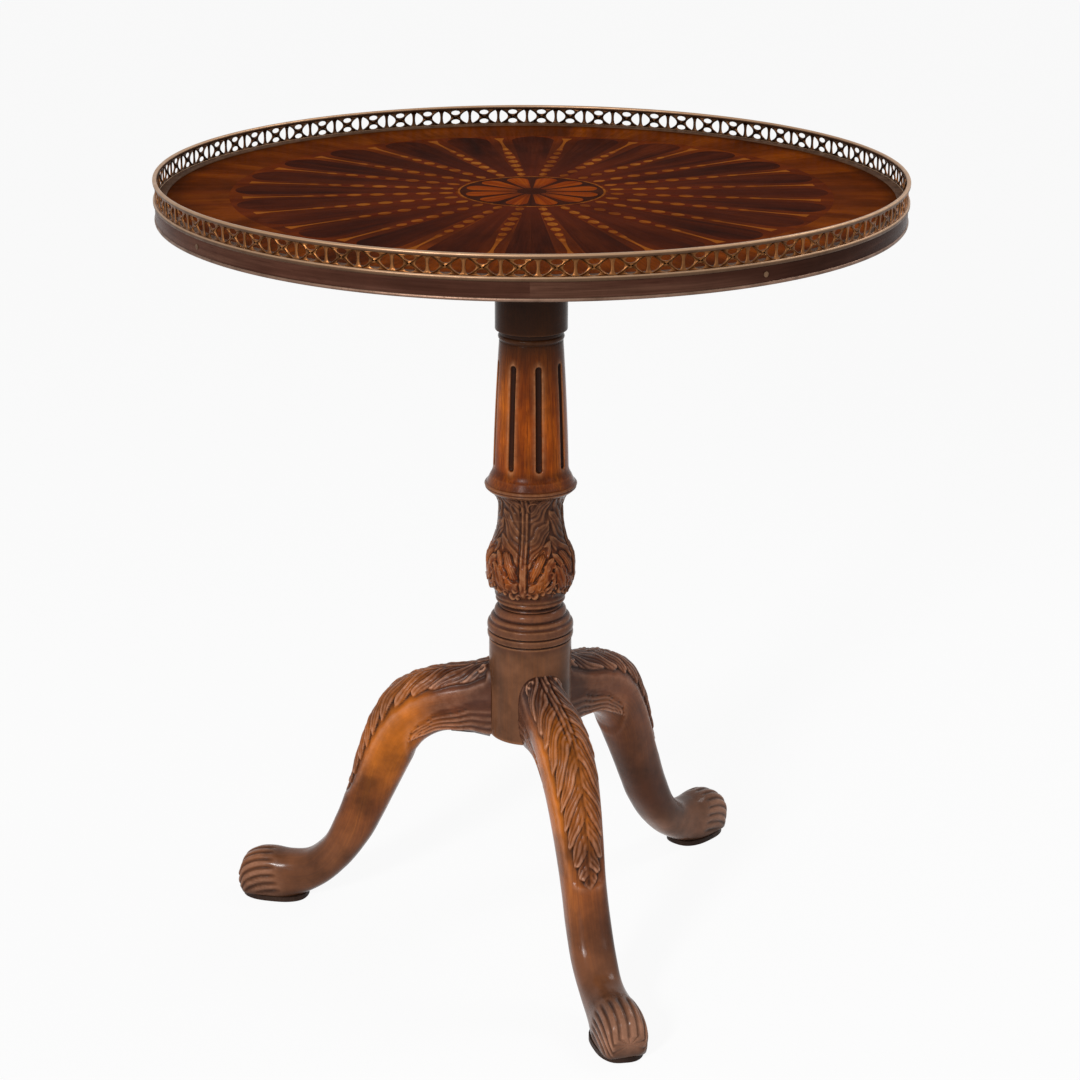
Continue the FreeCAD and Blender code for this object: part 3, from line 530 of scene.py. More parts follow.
FINISHES = {
    "tray_board": wood("tray underside wood", (58, 30, 16), (96, 55, 30), (128, 78, 44), "x", 0.8,
                       gloss=0.6, cloud=0.3),
    "edge_wood": wood("dark lipping", (48, 25, 17), (74, 46, 36), (96, 66, 52), "hoop", 1.2, gloss=0.25,
                      shine=0.015, cloud=0.25),
    "edge_line": metal("edge line brass", (134, 106, 90), (78, 58, 46), 0.7, 0.4),
    "field_wood": veneer("sunburst ground", (74, 25, 2), (106, 40, 3), (138, 61, 6), 1.1, 0.3, FIELD_WASHES),
    "border_wood": veneer("cross-banded border", (78, 30, 1), (118, 50, 2), (150, 72, 6), 0.9, 0.4,
                          border_tone),
    "petal_wood": veneer("dark petals", (42, 13, 3), (70, 23, 4), (92, 36, 8), 1.3, 0.2, petal_tone),
    "light_inlay": veneer("light inlay", (110, 50, 8), (152, 80, 18), (184, 110, 36), 1.6, 0.25),
    "chain_ground": veneer("chain ground", (74, 22, 4), (96, 32, 5), (116, 46, 9), 1.6, 0.25, CHAIN_WASHES),
    "shell_inlay": veneer("shell petals", (112, 40, 1), (148, 60, 2), (176, 86, 8), 1.6, 0.2, SHELL_WASHES),
    "medallion_wood": veneer("medallion ground", (42, 13, 3), (62, 22, 5), (80, 33, 9), 1.5, 0.2),
    "gallery_brass": metal("gallery rails", (150, 120, 94), (84, 62, 47), 0.7, 0.4, rail_highlight_and_shade),
    "gallery_flange": metal("lacquered flange", (96, 68, 50), (53, 37, 28), 0.7, 0.5, bare=0.0, shine=0.03),
    "fret_bronze": metal("pierced bronze", (138, 90, 51), (64, 41, 26), 0.75, 0.36, STRIP_WASHES),
    "pin_brass": metal("rim pins", (128, 100, 76), (72, 52, 40), 0.7, 0.45),
    "bearer_wood": wood("bearer wood", (44, 22, 12), (76, 42, 24), (104, 62, 36), "y", 0.9, gloss=0.5),
    "block_wood": wood("tilt block wood", (44, 22, 12), (74, 40, 23), (100, 58, 34), "x", 0.9, gloss=0.48),
    "pivot_wood": wood("pivot wood", (60, 32, 18), (98, 58, 32), (126, 80, 46), "x", 2.0, gloss=0.45,
                       cloud=0.3),
    "screw_steel": metal("screw steel", (128, 124, 118), (66, 58, 50), 0.6, 0.34),
    "catch_brass": metal("catch brass", (196, 154, 92), (110, 78, 44), 0.45, 0.26),
    "spring_steel": metal("spring steel", (120, 124, 132), (70, 62, 60), 0.4, 0.3),
    # The lighter crest colours of the column and the legs are partly worn wood and partly a painted
    # highlight.
    "column_wood": wood("column mahogany", (90, 32, 4), (164, 76, 10), (202, 108, 20), "z", 1.2, 0.7,
                        gloss=0.14, shine=0.07, wax=(28, 15, 10), worn_highlight=(170, 116, 78), cloud=0.6,
                        carved=True, tone=COLUMN_WASHES),
    "leg_wood": wood("leg mahogany", (100, 42, 10), (160, 82, 26), (200, 112, 38), "carved", 1.1,
                     gloss=0.16, shine=0.12, wax=(24, 12, 8), worn_highlight=(222, 164, 132), cloud=0.65,
                     carved=True, tone=LEG_WASHES),
    "pad_wood": wood("pad wood", (34, 22, 17), (52, 36, 29), (68, 50, 40), "z", 1.0, gloss=0.5),
    "spider_iron": metal("spider iron", (70, 66, 62), (38, 33, 30), 0.8, 0.5),
}


# ---------------------------------------------------------------- the carver's leaf

def tool_marks(first, second):
    """The unevenness of hand work: products of sines of two distances, within 1 either way."""
    return (0.6 * np.sin(first / 2.3 + 0.7 * np.sin(second / 3.1)) * np.sin(second / 2.0 + first / 5.3)
            + 0.4 * np.sin(first / 5.9 - second / 4.1 + 1.3))


def acanthus(along, out, half_width, pitch, slant, rise, cord=0.5, notch=0.26):
    """Relief of a carved leaf that lies along a midrib, in millimetres over its ground.

    out is the distance to either side of the midrib. A point belongs to the lobe whose foot on the
    midrib is slant times out further back: phase = (along - slant * out) / pitch, and lobe is the part
    of it after the point. Each lobe reaches half_width times a rounded scallop, climbs from its inner
    to its outer side so that it laps the next one, and is cut into three round strands. The midrib is
    a pair of cords with a groove between them, of height cord times the rise. notch is the depth of
    the scallops as a part of half_width. Outside them the relief falls in a soft wall.
    """
    phase = (along - slant * out) / pitch
    lobe = phase - np.floor(phase)
    scallop = 1 - notch + notch * np.sin(np.pi * lobe ** 0.8)
    inside = ease(0.0, 2.0, half_width * scallop - out)
    lap = rise * (0.45 + 0.55 * ease(0.0, 1.0, lobe))
    strands = 0.38 * rise * np.abs(np.sin(3 * np.pi * lobe)) ** 0.7 * ease(0.5, 5.0, out)
    cords = cord * rise * bump_of(out - 2.0, 1.2) * ease(0.0, 12.0, half_width)
    beside = -cord * rise * bump_of(out - 4.6, 1.1) * ease(0.0, 12.0, half_width)
    return inside * np.maximum(lap * (0.72 + 0.28 * ease(1.0, 7.0, out)) + strands + cords + beside, 0.0)


# ---------------------------------------------------------------- column

DRUM = ((0.5, 205), (37.2, 205, 0.9), (40.2, 208), (40.0, 304.4), (38.6, 305.9), (41.1, 307.2, 0.5),
        (41.3, 312.8), (39.6, 314.0), (41.4, 315.4, 0.6), (41.0, 322.3), (38.6, 323.8), (38.7, 324.8, 0.9),
        (36.4, 328.9), (34.6, 329.8), (34.8, 330.6, 1.7), (30.4, 338.8))
VASE = ((30.4, 338.8), (29.6, 340.6), (30.3, 342.6), (32.3, 343.6, 0.8), (33.3, 347.0), (32.9, 347.8),
        (36.7, 353.0, 2.0), (43.3, 376.5), (43.3, 382.0, 0.9), (39.6, 398.0, -1.5), (32.6, 428.0),
        (32.6, 431.5, -4.0), (41.0, 456.0), (43.3, 458.3, 0.2), (43.5, 459.3), (42.9, 459.9), (44.2, 461.1),
        (44.2, 461.8))
SHAFT = ((44.2, 461.8), (43.4, 462.9), (42.0, 463.5), (38.7, 470.6, -0.5), (36.0, 478.0, 0.6), (30.2, 602.0))
HEAD = ((30.2, 602.0), (29.8, 603.0, 1.5), (29.8, 608.6), (30.4, 609.4), (30.4, 612.1),
        (33.4, 612.5, 0.3), (34.2, 613.3), (34.2, 640, -3.0), (44, 660), (44, 672.7), (22, 672.7),
        (22, 722.5), (0.5, 722.5))
FLUTES, FLUTE_BEARING, FLUTE_RADIUS = 8, 13.0, 3.4
FLUTE_LOW, FLUTE_HIGH, FLUTE_STEP = 484.0, 580.0, 360.0 / FLUTES
LEAF_BEARING, LEAF_STEP = -10.0, 90.0
LEAF_FOOT, LEAF_TOP, LEAF_PITCH = 352.0, 454.0, 23.0
# The broad lobes low on a leaf: distance out, height, half width, half height, and lean.
LOBE_OUT, LOBE_HEIGHT, LOBE_WIDE, LOBE_TALL, LOBE_LEAN = 14.5, 389.0, 6.8, 15.5, 0.42
CROWN_OUT, CROWN_HEIGHT, BUD_HEIGHT = 9.0, 444.0, 361.0
COLUMN_MARK_DEPTH, CARVED_HEIGHT = 1.0, 2.6


def outward(profile):
    """Unit vectors square to a (radius, height) profile that climbs, pointing away from the axis."""
    way = np.gradient(profile, axis=0)
    length = np.hypot(*way.T)[:, None]
    return np.stack([way[:, 1], -way[:, 0]], -1) / np.maximum(length, 1e-9)


def turned_piece(name, profile, bearings, relief, crests=1.0, waxed=0.0):
    """A turned surface moved square to itself by a relief, with marks for wax, and for wear with a painted
    highlight.
    """
    normal = outward(profile)
    surface = profile[:, None, :] + normal[:, None, :] * relief[..., None]
    points, faces = capped(around(surface[..., 0], 0.0, surface[..., 1], bearings))
    recess, wear_and_highlight = recess_and_crest(relief, 5, 5, COLUMN_MARK_DEPTH)
    hollows, ridges = profile_marks(profile)
    recess = np.clip(recess + np.maximum(waxed, hollows), 0, 1)
    wear_and_highlight = np.clip(0.8 * wear_and_highlight + crests * ridges, 0, 1)
    put_piece(name, points, faces, "base", "column_wood", ("column",),
              marks={"recess": with_poles(recess), "wear_and_highlight": with_poles(wear_and_highlight)})


def profile_marks(profile):
    """Wax in the hollows, and wear with a painted highlight on the crests, of a turned profile.

    Each is how far the radius lies inside or outside its own running mean, a wide one for the wax
    and a narrow one for the crests.
    """
    radius = np.repeat(profile[:, :1], 3, 1)
    hollows = (softened(radius, 9, 1) - radius)[:, :1] / 1.4
    ridges = (radius - softened(radius, 2, 1))[:, :1] / 0.5
    return np.clip(hollows, 0, 0.85), np.clip(ridges, 0, 0.45)


def make_column():
    """The column in four pieces: drum with its rings, carved vase, fluted shaft, and head with tenon."""
    bearings = np.arange(0, 360, 1.5)
    for name, outline, crests in (("column_drum", DRUM, 1.0), ("column_head", HEAD, 0.15)):
        profile = along_outline(outline, 0.6)
        turned_piece(name, profile, bearings, np.zeros((len(profile), len(bearings))), crests)

    vase = along_outline(VASE, 0.5)
    bearings = np.arange(0, 360, 1.0)
    turned_piece("column_vase", vase, bearings, vase_relief(vase, bearings))

    shaft = along_outline(SHAFT, 0.75)
    offsets = np.linspace(-1, 1, 49)[:-1]
    offsets = (0.45 * offsets + 0.55 * offsets ** 3) * FLUTE_STEP / 2
    bearings = (FLUTE_BEARING + np.arange(FLUTES)[:, None] * FLUTE_STEP + offsets[None]).ravel()
    flutes = flute_relief(shaft, bearings)
    turned_piece("column_shaft", shaft, bearings, flutes, waxed=ease(0.4, 1.6, -flutes) * 0.9)


def flute_relief(profile, bearings):
    """Flutes with round ends: each is the part of a ball's path that dips under the surface.

    The depth is sqrt(radius^2 - across^2 - past^2) - 0.6, where across is the distance round the
    shaft from the middle of the flute and past is the distance beyond its ends.
    """
    turn = from_nearest(bearings - FLUTE_BEARING, FLUTE_STEP)
    across = profile[:, :1] * np.radians(turn)[None]
    past = np.maximum(0, np.maximum(FLUTE_LOW - profile[:, 1], profile[:, 1] - FLUTE_HIGH))[:, None]
    inside = FLUTE_RADIUS ** 2 - across ** 2 - past ** 2
    return -np.clip(np.sqrt(np.maximum(inside, 0)) - 0.6, 0, None)


# Curls at the foot of each leaf: degrees from the midrib, height, and the size of the curl.
CURLS = np.array([(7, 358.0, 2.4), (16, 359.0, 3.0), (26, 361.5, 2.6), (35, 364.5, 3.1), (43, 369.0, 2.7),
                  (11, 366.5, 2.6), (20, 368.5, 3.1), (30, 373.0, 2.7), (38, 379.0, 3.0), (25, 380.0, 2.4),
                  (33, 387.0, 2.6), (43, 390.0, 2.9), (45, 359.0, 2.2)])


def curl_relief(radius, turn, height):
    """Small carved curls: for each a round rib and a round eye inside it, set to one side."""
    carved = np.zeros(np.broadcast_shapes(turn.shape, height.shape))
    for side in (-1.0, 1.0):
        for number, (bearing, level, size) in enumerate(CURLS):
            across = radius * np.radians(turn - side * bearing)
            up = (height - level - 0.9 * side) * 0.92
            far = np.hypot(across, up)
            open_side = 1 - bump_of(np.hypot(across + side * size, up + size * (-1) ** number), 1.25 * size)
            eye = np.hypot(across - 0.35 * side * size, up * 0.8 + 0.3 * size)
            curl = 2.4 * bump_of(far - size, 0.42 * size) * open_side + 1.9 * bump_of(eye, 0.5 * size)
            carved = np.maximum(carved, curl)
    return carved


def vase_relief(profile, bearings):
    """Four tall leaves on the vase, with broad lobes low on them and curls at their feet.

    A vein of a leaf leaves the midrib outwards and bends up it: its height over its foot is
    0.6 out + 0.02 out squared, plus the unevenness of the carver's hand. Nothing stands proud of the
    turned shape: the highest parts of the carving lie on it.
    """
    radius, height = profile[:, :1], profile[:, 1:2]
    turn = from_nearest(bearings - LEAF_BEARING, LEAF_STEP)[None]
    across = radius * np.radians(turn)
    out = np.abs(across)
    up = (height - LEAF_FOOT) / (LEAF_TOP - LEAF_FOOT)
    width = radius * np.radians(LEAF_STEP / 2) * np.interp(up, (0, 0.1, 0.25, 0.5), (0.6, 1.0, 1.12, 1.1))
    sway = 2.6 * np.sin(height / 8.0 + 0.8 * np.sin(across / 5.0)) + 1.7 * np.sin(height / 3.9 + across / 4.6)
    leaning = height - LEAF_FOOT - 0.02 * out ** 2 + sway + np.where(across > 0, 8.0, 0.0)
    low_part = ease(414.0, 388.0, height)
    tall = acanthus(leaning, out, width, LEAF_PITCH, 0.6, 1.9, 0.8, 0.3) * (0.6 + 0.4 * low_part)
    fine = 0.35 * np.abs(np.sin(leaning / 1.9 - 0.3 * out)) * ease(3.0, 7.0, out)
    lean_out, lean_up = out - LOBE_OUT, height - LOBE_HEIGHT
    askew = lean_out - LOBE_LEAN * lean_up
    lobe = np.hypot(askew / LOBE_WIDE, (lean_up + 0.2 * lean_out) / LOBE_TALL)
    lobe = lobe + 0.09 * np.sin(lean_up / 1.7 + np.sign(across))
    lobes = 2.5 * np.sqrt(np.clip(1 - lobe ** 2, 0, 1)) - 0.8 * np.cos(1.25 * askew) ** 2
    gap = ease(0.96, 1.04, lobe) * ease(1.3, 1.12, lobe)
    leaf = np.maximum(tall + fine, 0.3) * (1 - 0.75 * gap)
    crown = bump_of(np.hypot(out - CROWN_OUT, height - CROWN_HEIGHT) - 6.0, 1.2)
    leaf = np.maximum(leaf, 1.7 * crown * ease(438.0, 444.0, height + 0.4 * out))
    stem = 2.3 * bump_of(across, 2.6) * ease(366.0, 372.0, height) * ease(396.0, 386.0, height)
    bud = 2.3 * bump_of(np.hypot(across / 4.0, (height - BUD_HEIGHT) / 5.5), 1.0)
    curls = curl_relief(radius, turn, height)
    relief = np.where(lobe < 1, lobes * ease(1.0, 0.9, lobe), leaf * ease(354.0, 370.0, height))
    relief = np.maximum(np.maximum(relief, curls), np.maximum(bud, stem))
    band = ease(349.0, 353.5, height) * ease(456.5, 453.0, height)
    return (np.minimum(relief, CARVED_HEIGHT) + 0.25 * tool_marks(height, across) - 2.4) * band


# ---------------------------------------------------------------- legs

# Down a leg, from the column to the toe: ridge (reach, height), underside (reach, height), width.
LEG_STATIONS = np.array([
    (30, 281.5, 30, 194.5, 46), (62, 271, 62, 199, 47.5), (93, 264.5, 86, 197, 50),
    (118, 256, 103, 187, 50.5), (143.5, 238.5, 117, 168.5, 49), (160.5, 211.5, 129, 145, 46),
    (173.5, 177, 141, 120, 43), (185, 135, 153.5, 94, 41), (199, 96, 167, 69, 41.5),
    (215.5, 65, 189.5, 39, 41.5), (235, 50, 212, 18, 39.5), (253, 48, 235, 4, 40.5),
    (270, 49.5, 256, -6, 44), (286, 47, 279, -6, 44), (297, 40, 292, -3, 41), (302, 28, 300, 7, 32)])
LEG_BEARINGS = {"front": 17.8, "right": 138.2, "left": -102.0}
PAD_TOP, SEAT_HALF, SEAT_REACH, SEAT_HEIGHT = 5.0, 11.2, 77.3, 205.0
KNEE_LEAF_PITCH, KNEE_LEAF_RISE, LEAF_SUNK, LEAF_WAX = 25.0, 2.0, 2.2, 0.36
TOE_GROOVE_PITCH, TOE_GROOVE_DEPTH, TOE_START = 9.2, 1.5, 262.0
VOLUTE_DOWN, VOLUTE_OUT = 15.5, 15.0
SQUARENESS, COLUMN_RADIUS, LEG_MARK_DEPTH = 0.78, 39.6, 1.7
# The grid of a leg: its first row, the end of its fine rows and their step down the ridge.
FIRST_ROW, FINE_END, FINE_STEP = 4.0, 262.0, 0.62
COARSE_ROWS, LEG_COLUMNS = 118, 160


def through_points(values, places, wanted):
    """A smooth curve through rows of values: cubic pieces whose slopes are the chords' own mean.

    Between two rows it is the Hermite mix h00 a + h10 da + h01 b + h11 db.
    """
    slopes = np.gradient(values, places, axis=0)
    index = np.clip(np.searchsorted(places, wanted, side="right") - 1, 0, len(places) - 2)
    gap = (places[index + 1] - places[index])[:, None]
    t = (wanted - places[index])[:, None] / gap
    a, b = values[index], values[index + 1]
    da, db = slopes[index] * gap, slopes[index + 1] * gap
    return ((2 * t ** 3 - 3 * t ** 2 + 1) * a + (t ** 3 - 2 * t ** 2 + t) * da
            + (3 * t ** 2 - 2 * t ** 3) * b + (t ** 3 - t ** 2) * db)


def leg_surface():
    """The bare leg as a grid: a squared oval carried down the stations, with a rounded toe.

    A section is the middle plus up times the powered cosine and half the width times the powered sine.
    Returns the points, the distance down the ridge of each row and round from the ridge of each point.
    """
    places = travel_along(LEG_STATIONS[:, :2])
    fine = np.arange(FIRST_ROW, FINE_END, FINE_STEP)
    wanted = np.concatenate([fine, np.linspace(FINE_END, places[-1], COARSE_ROWS)])
    rows = through_points(LEG_STATIONS, places, wanted)
    turn = np.linspace(-1, 1, LEG_COLUMNS + 1)[:-1]
    turn = np.pi * (0.62 * turn + 0.38 * turn ** 3)
    rise, side = powered(np.cos(turn), SQUARENESS), powered(np.sin(turn), SQUARENESS)
    middle = (rows[:, None, 0:2] + rows[:, None, 2:4]) / 2
    up = (rows[:, None, 0:2] - rows[:, None, 2:4]) / 2
    flat = middle + up * rise[None, :, None]
    full = ease(232.0, 262.0, flat[..., 0]) * ease(0.1, -0.5, rise)[None]
    out = rows[:, 4:5] / 2 * (side + (powered(side, 0.35) - side) * full)
    points = np.stack([flat[..., 0], out, flat[..., 1]], -1)
    steps = np.linalg.norm(np.diff(points, axis=1), axis=-1)
    round_to = np.concatenate([np.zeros((len(points), 1)), np.cumsum(steps, axis=1)], axis=1)
    return points, wanted, round_to - round_to[:, LEG_COLUMNS // 2, None]


def surface_normals(points):
    """Unit normals of a grid closed round its columns: the cross product of its two slopes."""
    down = np.gradient(points, axis=0)
    wide = np.concatenate([points[:, -2:], points, points[:, :2]], axis=1)
    across = np.gradient(wide, axis=1)[:, 2:-2]
    normal = np.cross(across, down)
    normal /= np.maximum(np.linalg.norm(normal, axis=-1, keepdims=True), 1e-9)
    middle = points.mean(axis=1, keepdims=True)
    facing = np.sign(np.einsum("ijk,ijk->", normal, points - middle))
    return normal * facing


# The leaf on a leg: distance down the ridge, and half its width round from the ridge.
LEAF_RUN = np.array([(9, 24), (30, 28), (60, 31), (90, 33), (115, 34), (140, 32), (175, 27), (210, 20),
                     (238, 11), (252, 0)], float)
# The scroll low on each side: reach, its upper edge, and its lower edge.
SCROLL_RUN = np.array([(41, 239, 203), (55, 235, 204), (74, 229, 204), (92, 222, 202), (106, 212, 196),
                       (113, 204, 192), (118, 196, 190)], float)


def leaf_cover(down, across):
    """1 on the leaf and 0 beside it, for a row of distances down the ridge and a grid round from it."""
    width = np.interp(down, LEAF_RUN[:, 0], LEAF_RUN[:, 1])[:, None]
    return ease(1.0, 0.85, np.abs(across) / np.maximum(width, 1.0)) * ease(0.0, 4.0, width)


def leaf_relief(down, across):
    """The leaf over the knee, cut back into the leg so that only its crests reach the bare surface."""
    out = np.abs(across)
    start, tip = LEAF_RUN[0, 0], LEAF_RUN[-1, 0]
    width = np.interp(down, LEAF_RUN[:, 0], LEAF_RUN[:, 1])
    wander = (3.0 * np.sin(down / 13.0) + 1.6 * np.sin(down / 5.3 + 1.0)
              + 1.5 * np.sin(out / 4.0 + down / 19.0))
    shifted = down - start + wander + np.where(across > 0, 11.0, 0.0)
    notch = 0.06 + 0.24 * ease(55.0, 120.0, down)
    cord = 0.5 - 0.35 * ease(80.0, 130.0, down)
    leaf = acanthus(shifted, out, width, KNEE_LEAF_PITCH, 1.7, KNEE_LEAF_RISE, cord, notch)
    leaf = leaf + 0.22 * tool_marks(down, across) * ease(-2.0, 4.0, width - out)
    present = ease(start, start + 3, down) * ease(tip, tip - 10, down)
    sunk = LEAF_SUNK * ease(10.0, 0.0, out - 0.9 * width) * present * ease(0.0, 8.0, width)
    return leaf * present - sunk


def scroll_relief(points):
    """A flowing scroll low on each side: strands that run out from the column and close round a tip."""
    reach, height = points[..., 0], points[..., 2]
    upper = np.interp(reach, SCROLL_RUN[:, 0], SCROLL_RUN[:, 1])
    lower = np.interp(reach, SCROLL_RUN[:, 0], SCROLL_RUN[:, 2])
    level = (height - lower) / (upper - lower) + 0.03 * np.sin(reach / 5.0)
    there = ease(121.0, 114.0, reach) * (0.5 + 0.5 * ease(45.0, 72.0, reach))
    strands = 2.1 * np.abs(np.sin(4.5 * np.pi * np.clip(level, 0, 1))) ** 0.7 - 2.0
    return (strands * ease(1.25, 0.95, level) - 0.6 * bump_of(level - 1.04, 0.08)) * there


def toe_relief(points, across):
    """Five round grooves that fan over the front of the toe from its crest."""
    reach, height = points[..., 0], points[..., 2]
    front = ease(TOE_START, TOE_START + 10.0, reach + 0.25 * (45.0 - height))
    bend = across * (1 + 0.002 * np.clip(292.0 - reach, 0, 40))
    groove = bump_of(from_nearest(bend, TOE_GROOVE_PITCH), 1.7)
    return -TOE_GROOVE_DEPTH * groove * front * ease(6.0, 12.0, height)


def leg_relief(points, down, across):
    """The carving of a leg: the leaf over its knee, scrolls low on its sides, and a grooved toe."""
    down = np.repeat(down[:, None], across.shape[1], 1)
    eye = np.hypot(down - VOLUTE_DOWN, np.abs(across) - VOLUTE_OUT)
    mouth = np.hypot(down - VOLUTE_DOWN - 3.5, np.abs(across) - VOLUTE_OUT + 2.0)
    rib = 1.7 * bump_of(eye - 3.2, 1.4) * (1 - bump_of(mouth, 3.0))
    volutes = (rib + 1.1 * bump_of(eye, 1.5)) * ease(7.0, 10.0, down) * ease(8.0, 5.0, eye)
    return leaf_relief(down, across) + volutes + scroll_relief(points) + toe_relief(points, across)


def make_legs():
    """Three carved legs, each a copy of one surface turned to its bearing."""
    bare, down, across = leg_surface()
    relief = leg_relief(bare, down, across)
    carved = bare + surface_normals(bare) * relief[..., None]
    drum = np.sqrt(np.maximum(COLUMN_RADIUS ** 2 - carved[..., 1] ** 2, 0.0))
    carved[..., 0] = np.maximum(carved[..., 0], drum)
    let_in = (np.abs(carved[..., 1]) < SEAT_HALF) & (carved[..., 0] < SEAT_REACH)
    lowest = np.where(let_in, SEAT_HEIGHT, PAD_TOP)
    carved[..., 2] = np.maximum(carved[..., 2], lowest)
    toe = carved[-1].mean(axis=0)
    shrink = np.sin(np.linspace(0, 1, 9)[1:-1] * np.pi / 2)
    cap = carved[-1][None] * (1 - shrink[:, None, None]) + toe * shrink[:, None, None]
    cap[..., 0] += 1.6 * np.sqrt(shrink)[:, None]
    # Wax in the hollows, and wear with a painted highlight on the crests.
    recess, wear_and_highlight = recess_and_crest(relief, 5, 4, LEG_MARK_DEPTH)
    recess = np.clip(recess + LEAF_WAX * leaf_cover(down, across), 0, 1)
    recess = np.concatenate([recess, np.zeros(cap.shape[:2])])
    wear_and_highlight = np.concatenate([wear_and_highlight, np.zeros(cap.shape[:2])])
    carved = np.concatenate([carved, cap])
    long_way = np.concatenate([down, down[-1] + np.arange(1, len(cap) + 1)])
    wide_way = np.concatenate([across, np.repeat(across[-1:], len(cap), 0)])
    grain = np.stack([wide_way, 0 * wide_way, np.repeat(long_way[:, None], wide_way.shape[1], 1)], -1) * MM
    for label, bearing in LEG_BEARINGS.items():
        points, faces = capped(around(carved[..., 0], carved[..., 1], carved[..., 2], bearing))
        own = grain + np.array([0.0, bearing * 0.01, 0.0])
        ends = np.stack([own[0].mean(axis=0), own[-1].mean(axis=0)])
        marks = {"recess": with_poles(recess), "wear_and_highlight": with_poles(wear_and_highlight),
                 "grain": np.concatenate([own.reshape(-1, 3), ends])}
        put_piece("carved_leg_" + label, points, faces, "base", "leg_wood", ("leg_" + label,),
                  marks=marks)


# ---------------------------------------------------------------- gallery

FRET_UNITS, FRET_BEARING = 72, 3.6
FRET_LOW, FRET_HIGH = 743.5, 758.0
FRET_MIDDLE_RADIUS, FRET_HALF_THICK = 341.8, 0.8
# Rays from these points meet the openings' rims: distance to the side of a unit's middle, and height.
SIDE_CENTRE, OVAL_CENTRE = np.array([9.3, 0.0]), np.array([0.0, 4.6])
OVAL_LEVEL, OVAL_WIDE, OVAL_TALL, CRESCENT_BOW, CRESCENT_TALL = 4.55, 4.6, 2.35, 2.9, 6.4
# Worn edges of the openings: their width, and their depth half way and at the rim.
WORN_WIDE, WORN_SHALLOW, WORN_DEEP = 0.4, 0.15, 0.45


def oval_opening(turns):
    """The upper opening of a unit: an ellipse."""
    return np.stack([OVAL_WIDE * np.cos(turns), OVAL_LEVEL + OVAL_TALL * np.sin(turns)], -1)


def side_opening(turns):
    """The right-hand opening: a crescent, whose middle line bows by the square of its height."""
    up, side = powered(np.sin(turns), 0.85), powered(np.cos(turns), 0.85)
    half = 4.3 - 2.6 * up ** 2
    return np.stack([SIDE_CENTRE[0] + CRESCENT_BOW * up ** 2 + half * side, CRESCENT_TALL * up], -1)


def opening_ring(opening, centre, border):
    """Six loops from the border on the front, over the rim of the opening, to the border on the back."""
    dense = opening(np.linspace(0, 2 * np.pi, 721)[:-1]) - centre
    angle = np.arctan2(dense[:, 1], dense[:, 0])
    order = np.argsort(angle)
    wanted = np.arctan2(*(border - centre).T[::-1])
    distance = np.interp(wanted, angle[order], np.hypot(*dense.T)[order], period=2 * np.pi)
    rim = centre + np.stack([np.cos(wanted), np.sin(wanted)], -1) * distance[:, None]
    way = border - rim
    length = np.hypot(*way.T)[:, None]
    inset = rim + way / length * np.minimum(WORN_WIDE, 0.4 * length)
    front = ((border, FRET_HALF_THICK), (inset, FRET_HALF_THICK - WORN_SHALLOW),
             (rim, FRET_HALF_THICK - WORN_DEEP))
    layers = front + tuple((flat, -depth) for flat, depth in front[::-1])
    return np.stack([np.column_stack([flat, np.full(len(flat), depth)]) for flat, depth in layers])


def make_fret():
    """The pierced strip: four openings round a crossing in each unit, bent round the tray."""
    half = math.pi * FRET_MIDDLE_RADIUS / FRET_UNITS
    top = (FRET_HIGH - FRET_LOW) / 2
    arm = np.array([(0, 0), (2.6, 1.55), (5.1, 2.9), (7.4, 4.5), (9.5, 5.9), (12.0, 6.8), (half, top)])
    flip_x, flip_z = np.array([-1, 1]), np.array([1, -1])
    edge = np.column_stack([np.full(7, half), np.linspace(top, -top, 9)[1:-1]])
    lid = np.column_stack([np.linspace(half, -half, 9)[1:-1], np.full(7, top)])
    side_border = np.concatenate([arm, edge, (arm * flip_z)[:0:-1]])
    top_border = np.concatenate([arm, lid, (arm * flip_x)[:0:-1]])
    side = opening_ring(side_opening, SIDE_CENTRE, side_border)
    over = opening_ring(oval_opening, OVAL_CENTRE, top_border)
    # Each opening's loops, whether they are mirrored, and whether they meet an edge of the strip.
    openings = ((side, False, False), (side * (-1, 1, 1), True, False),
                (over, False, True), (over * (1, -1, 1), True, True))
    points, faces, first = [], [], 0
    for loops, mirrored, at_edge in openings:
        rows, columns = loops.shape[:2]
        block = wrapped_faces(rows, columns, first)
        faces.append(block[:, ::-1] if mirrored else block)
        if at_edge:
            front = first + np.arange(len(arm) - 1, len(arm) + len(lid))
            back = front + (rows - 1) * columns
            edge_faces = np.stack([front, front + 1, back + 1, back], -1)
            faces.append(edge_faces if mirrored else edge_faces[:, ::-1])
        points.append(loops.reshape(-1, 3))
        first += rows * columns
    unit = np.concatenate(points)
    bearings = FRET_BEARING + np.arange(FRET_UNITS) * 360.0 / FRET_UNITS
    bent = bearings[:, None] + np.degrees(unit[None, :, 0] / FRET_MIDDLE_RADIUS)
    grid = around(FRET_MIDDLE_RADIUS + unit[None, :, 2], 0.0,
                  (FRET_LOW + FRET_HIGH) / 2 + unit[None, :, 1], bent)
    points, faces = repeated(grid, [np.concatenate(faces)], FRET_UNITS)
    merged, index = np.unique(np.round(points, 3), axis=0, return_inverse=True)
    put_piece("pierced_gallery", merged, [index.reshape(-1)[block] for block in faces], "top",
              "fret_bronze", ("gallery_fret",))


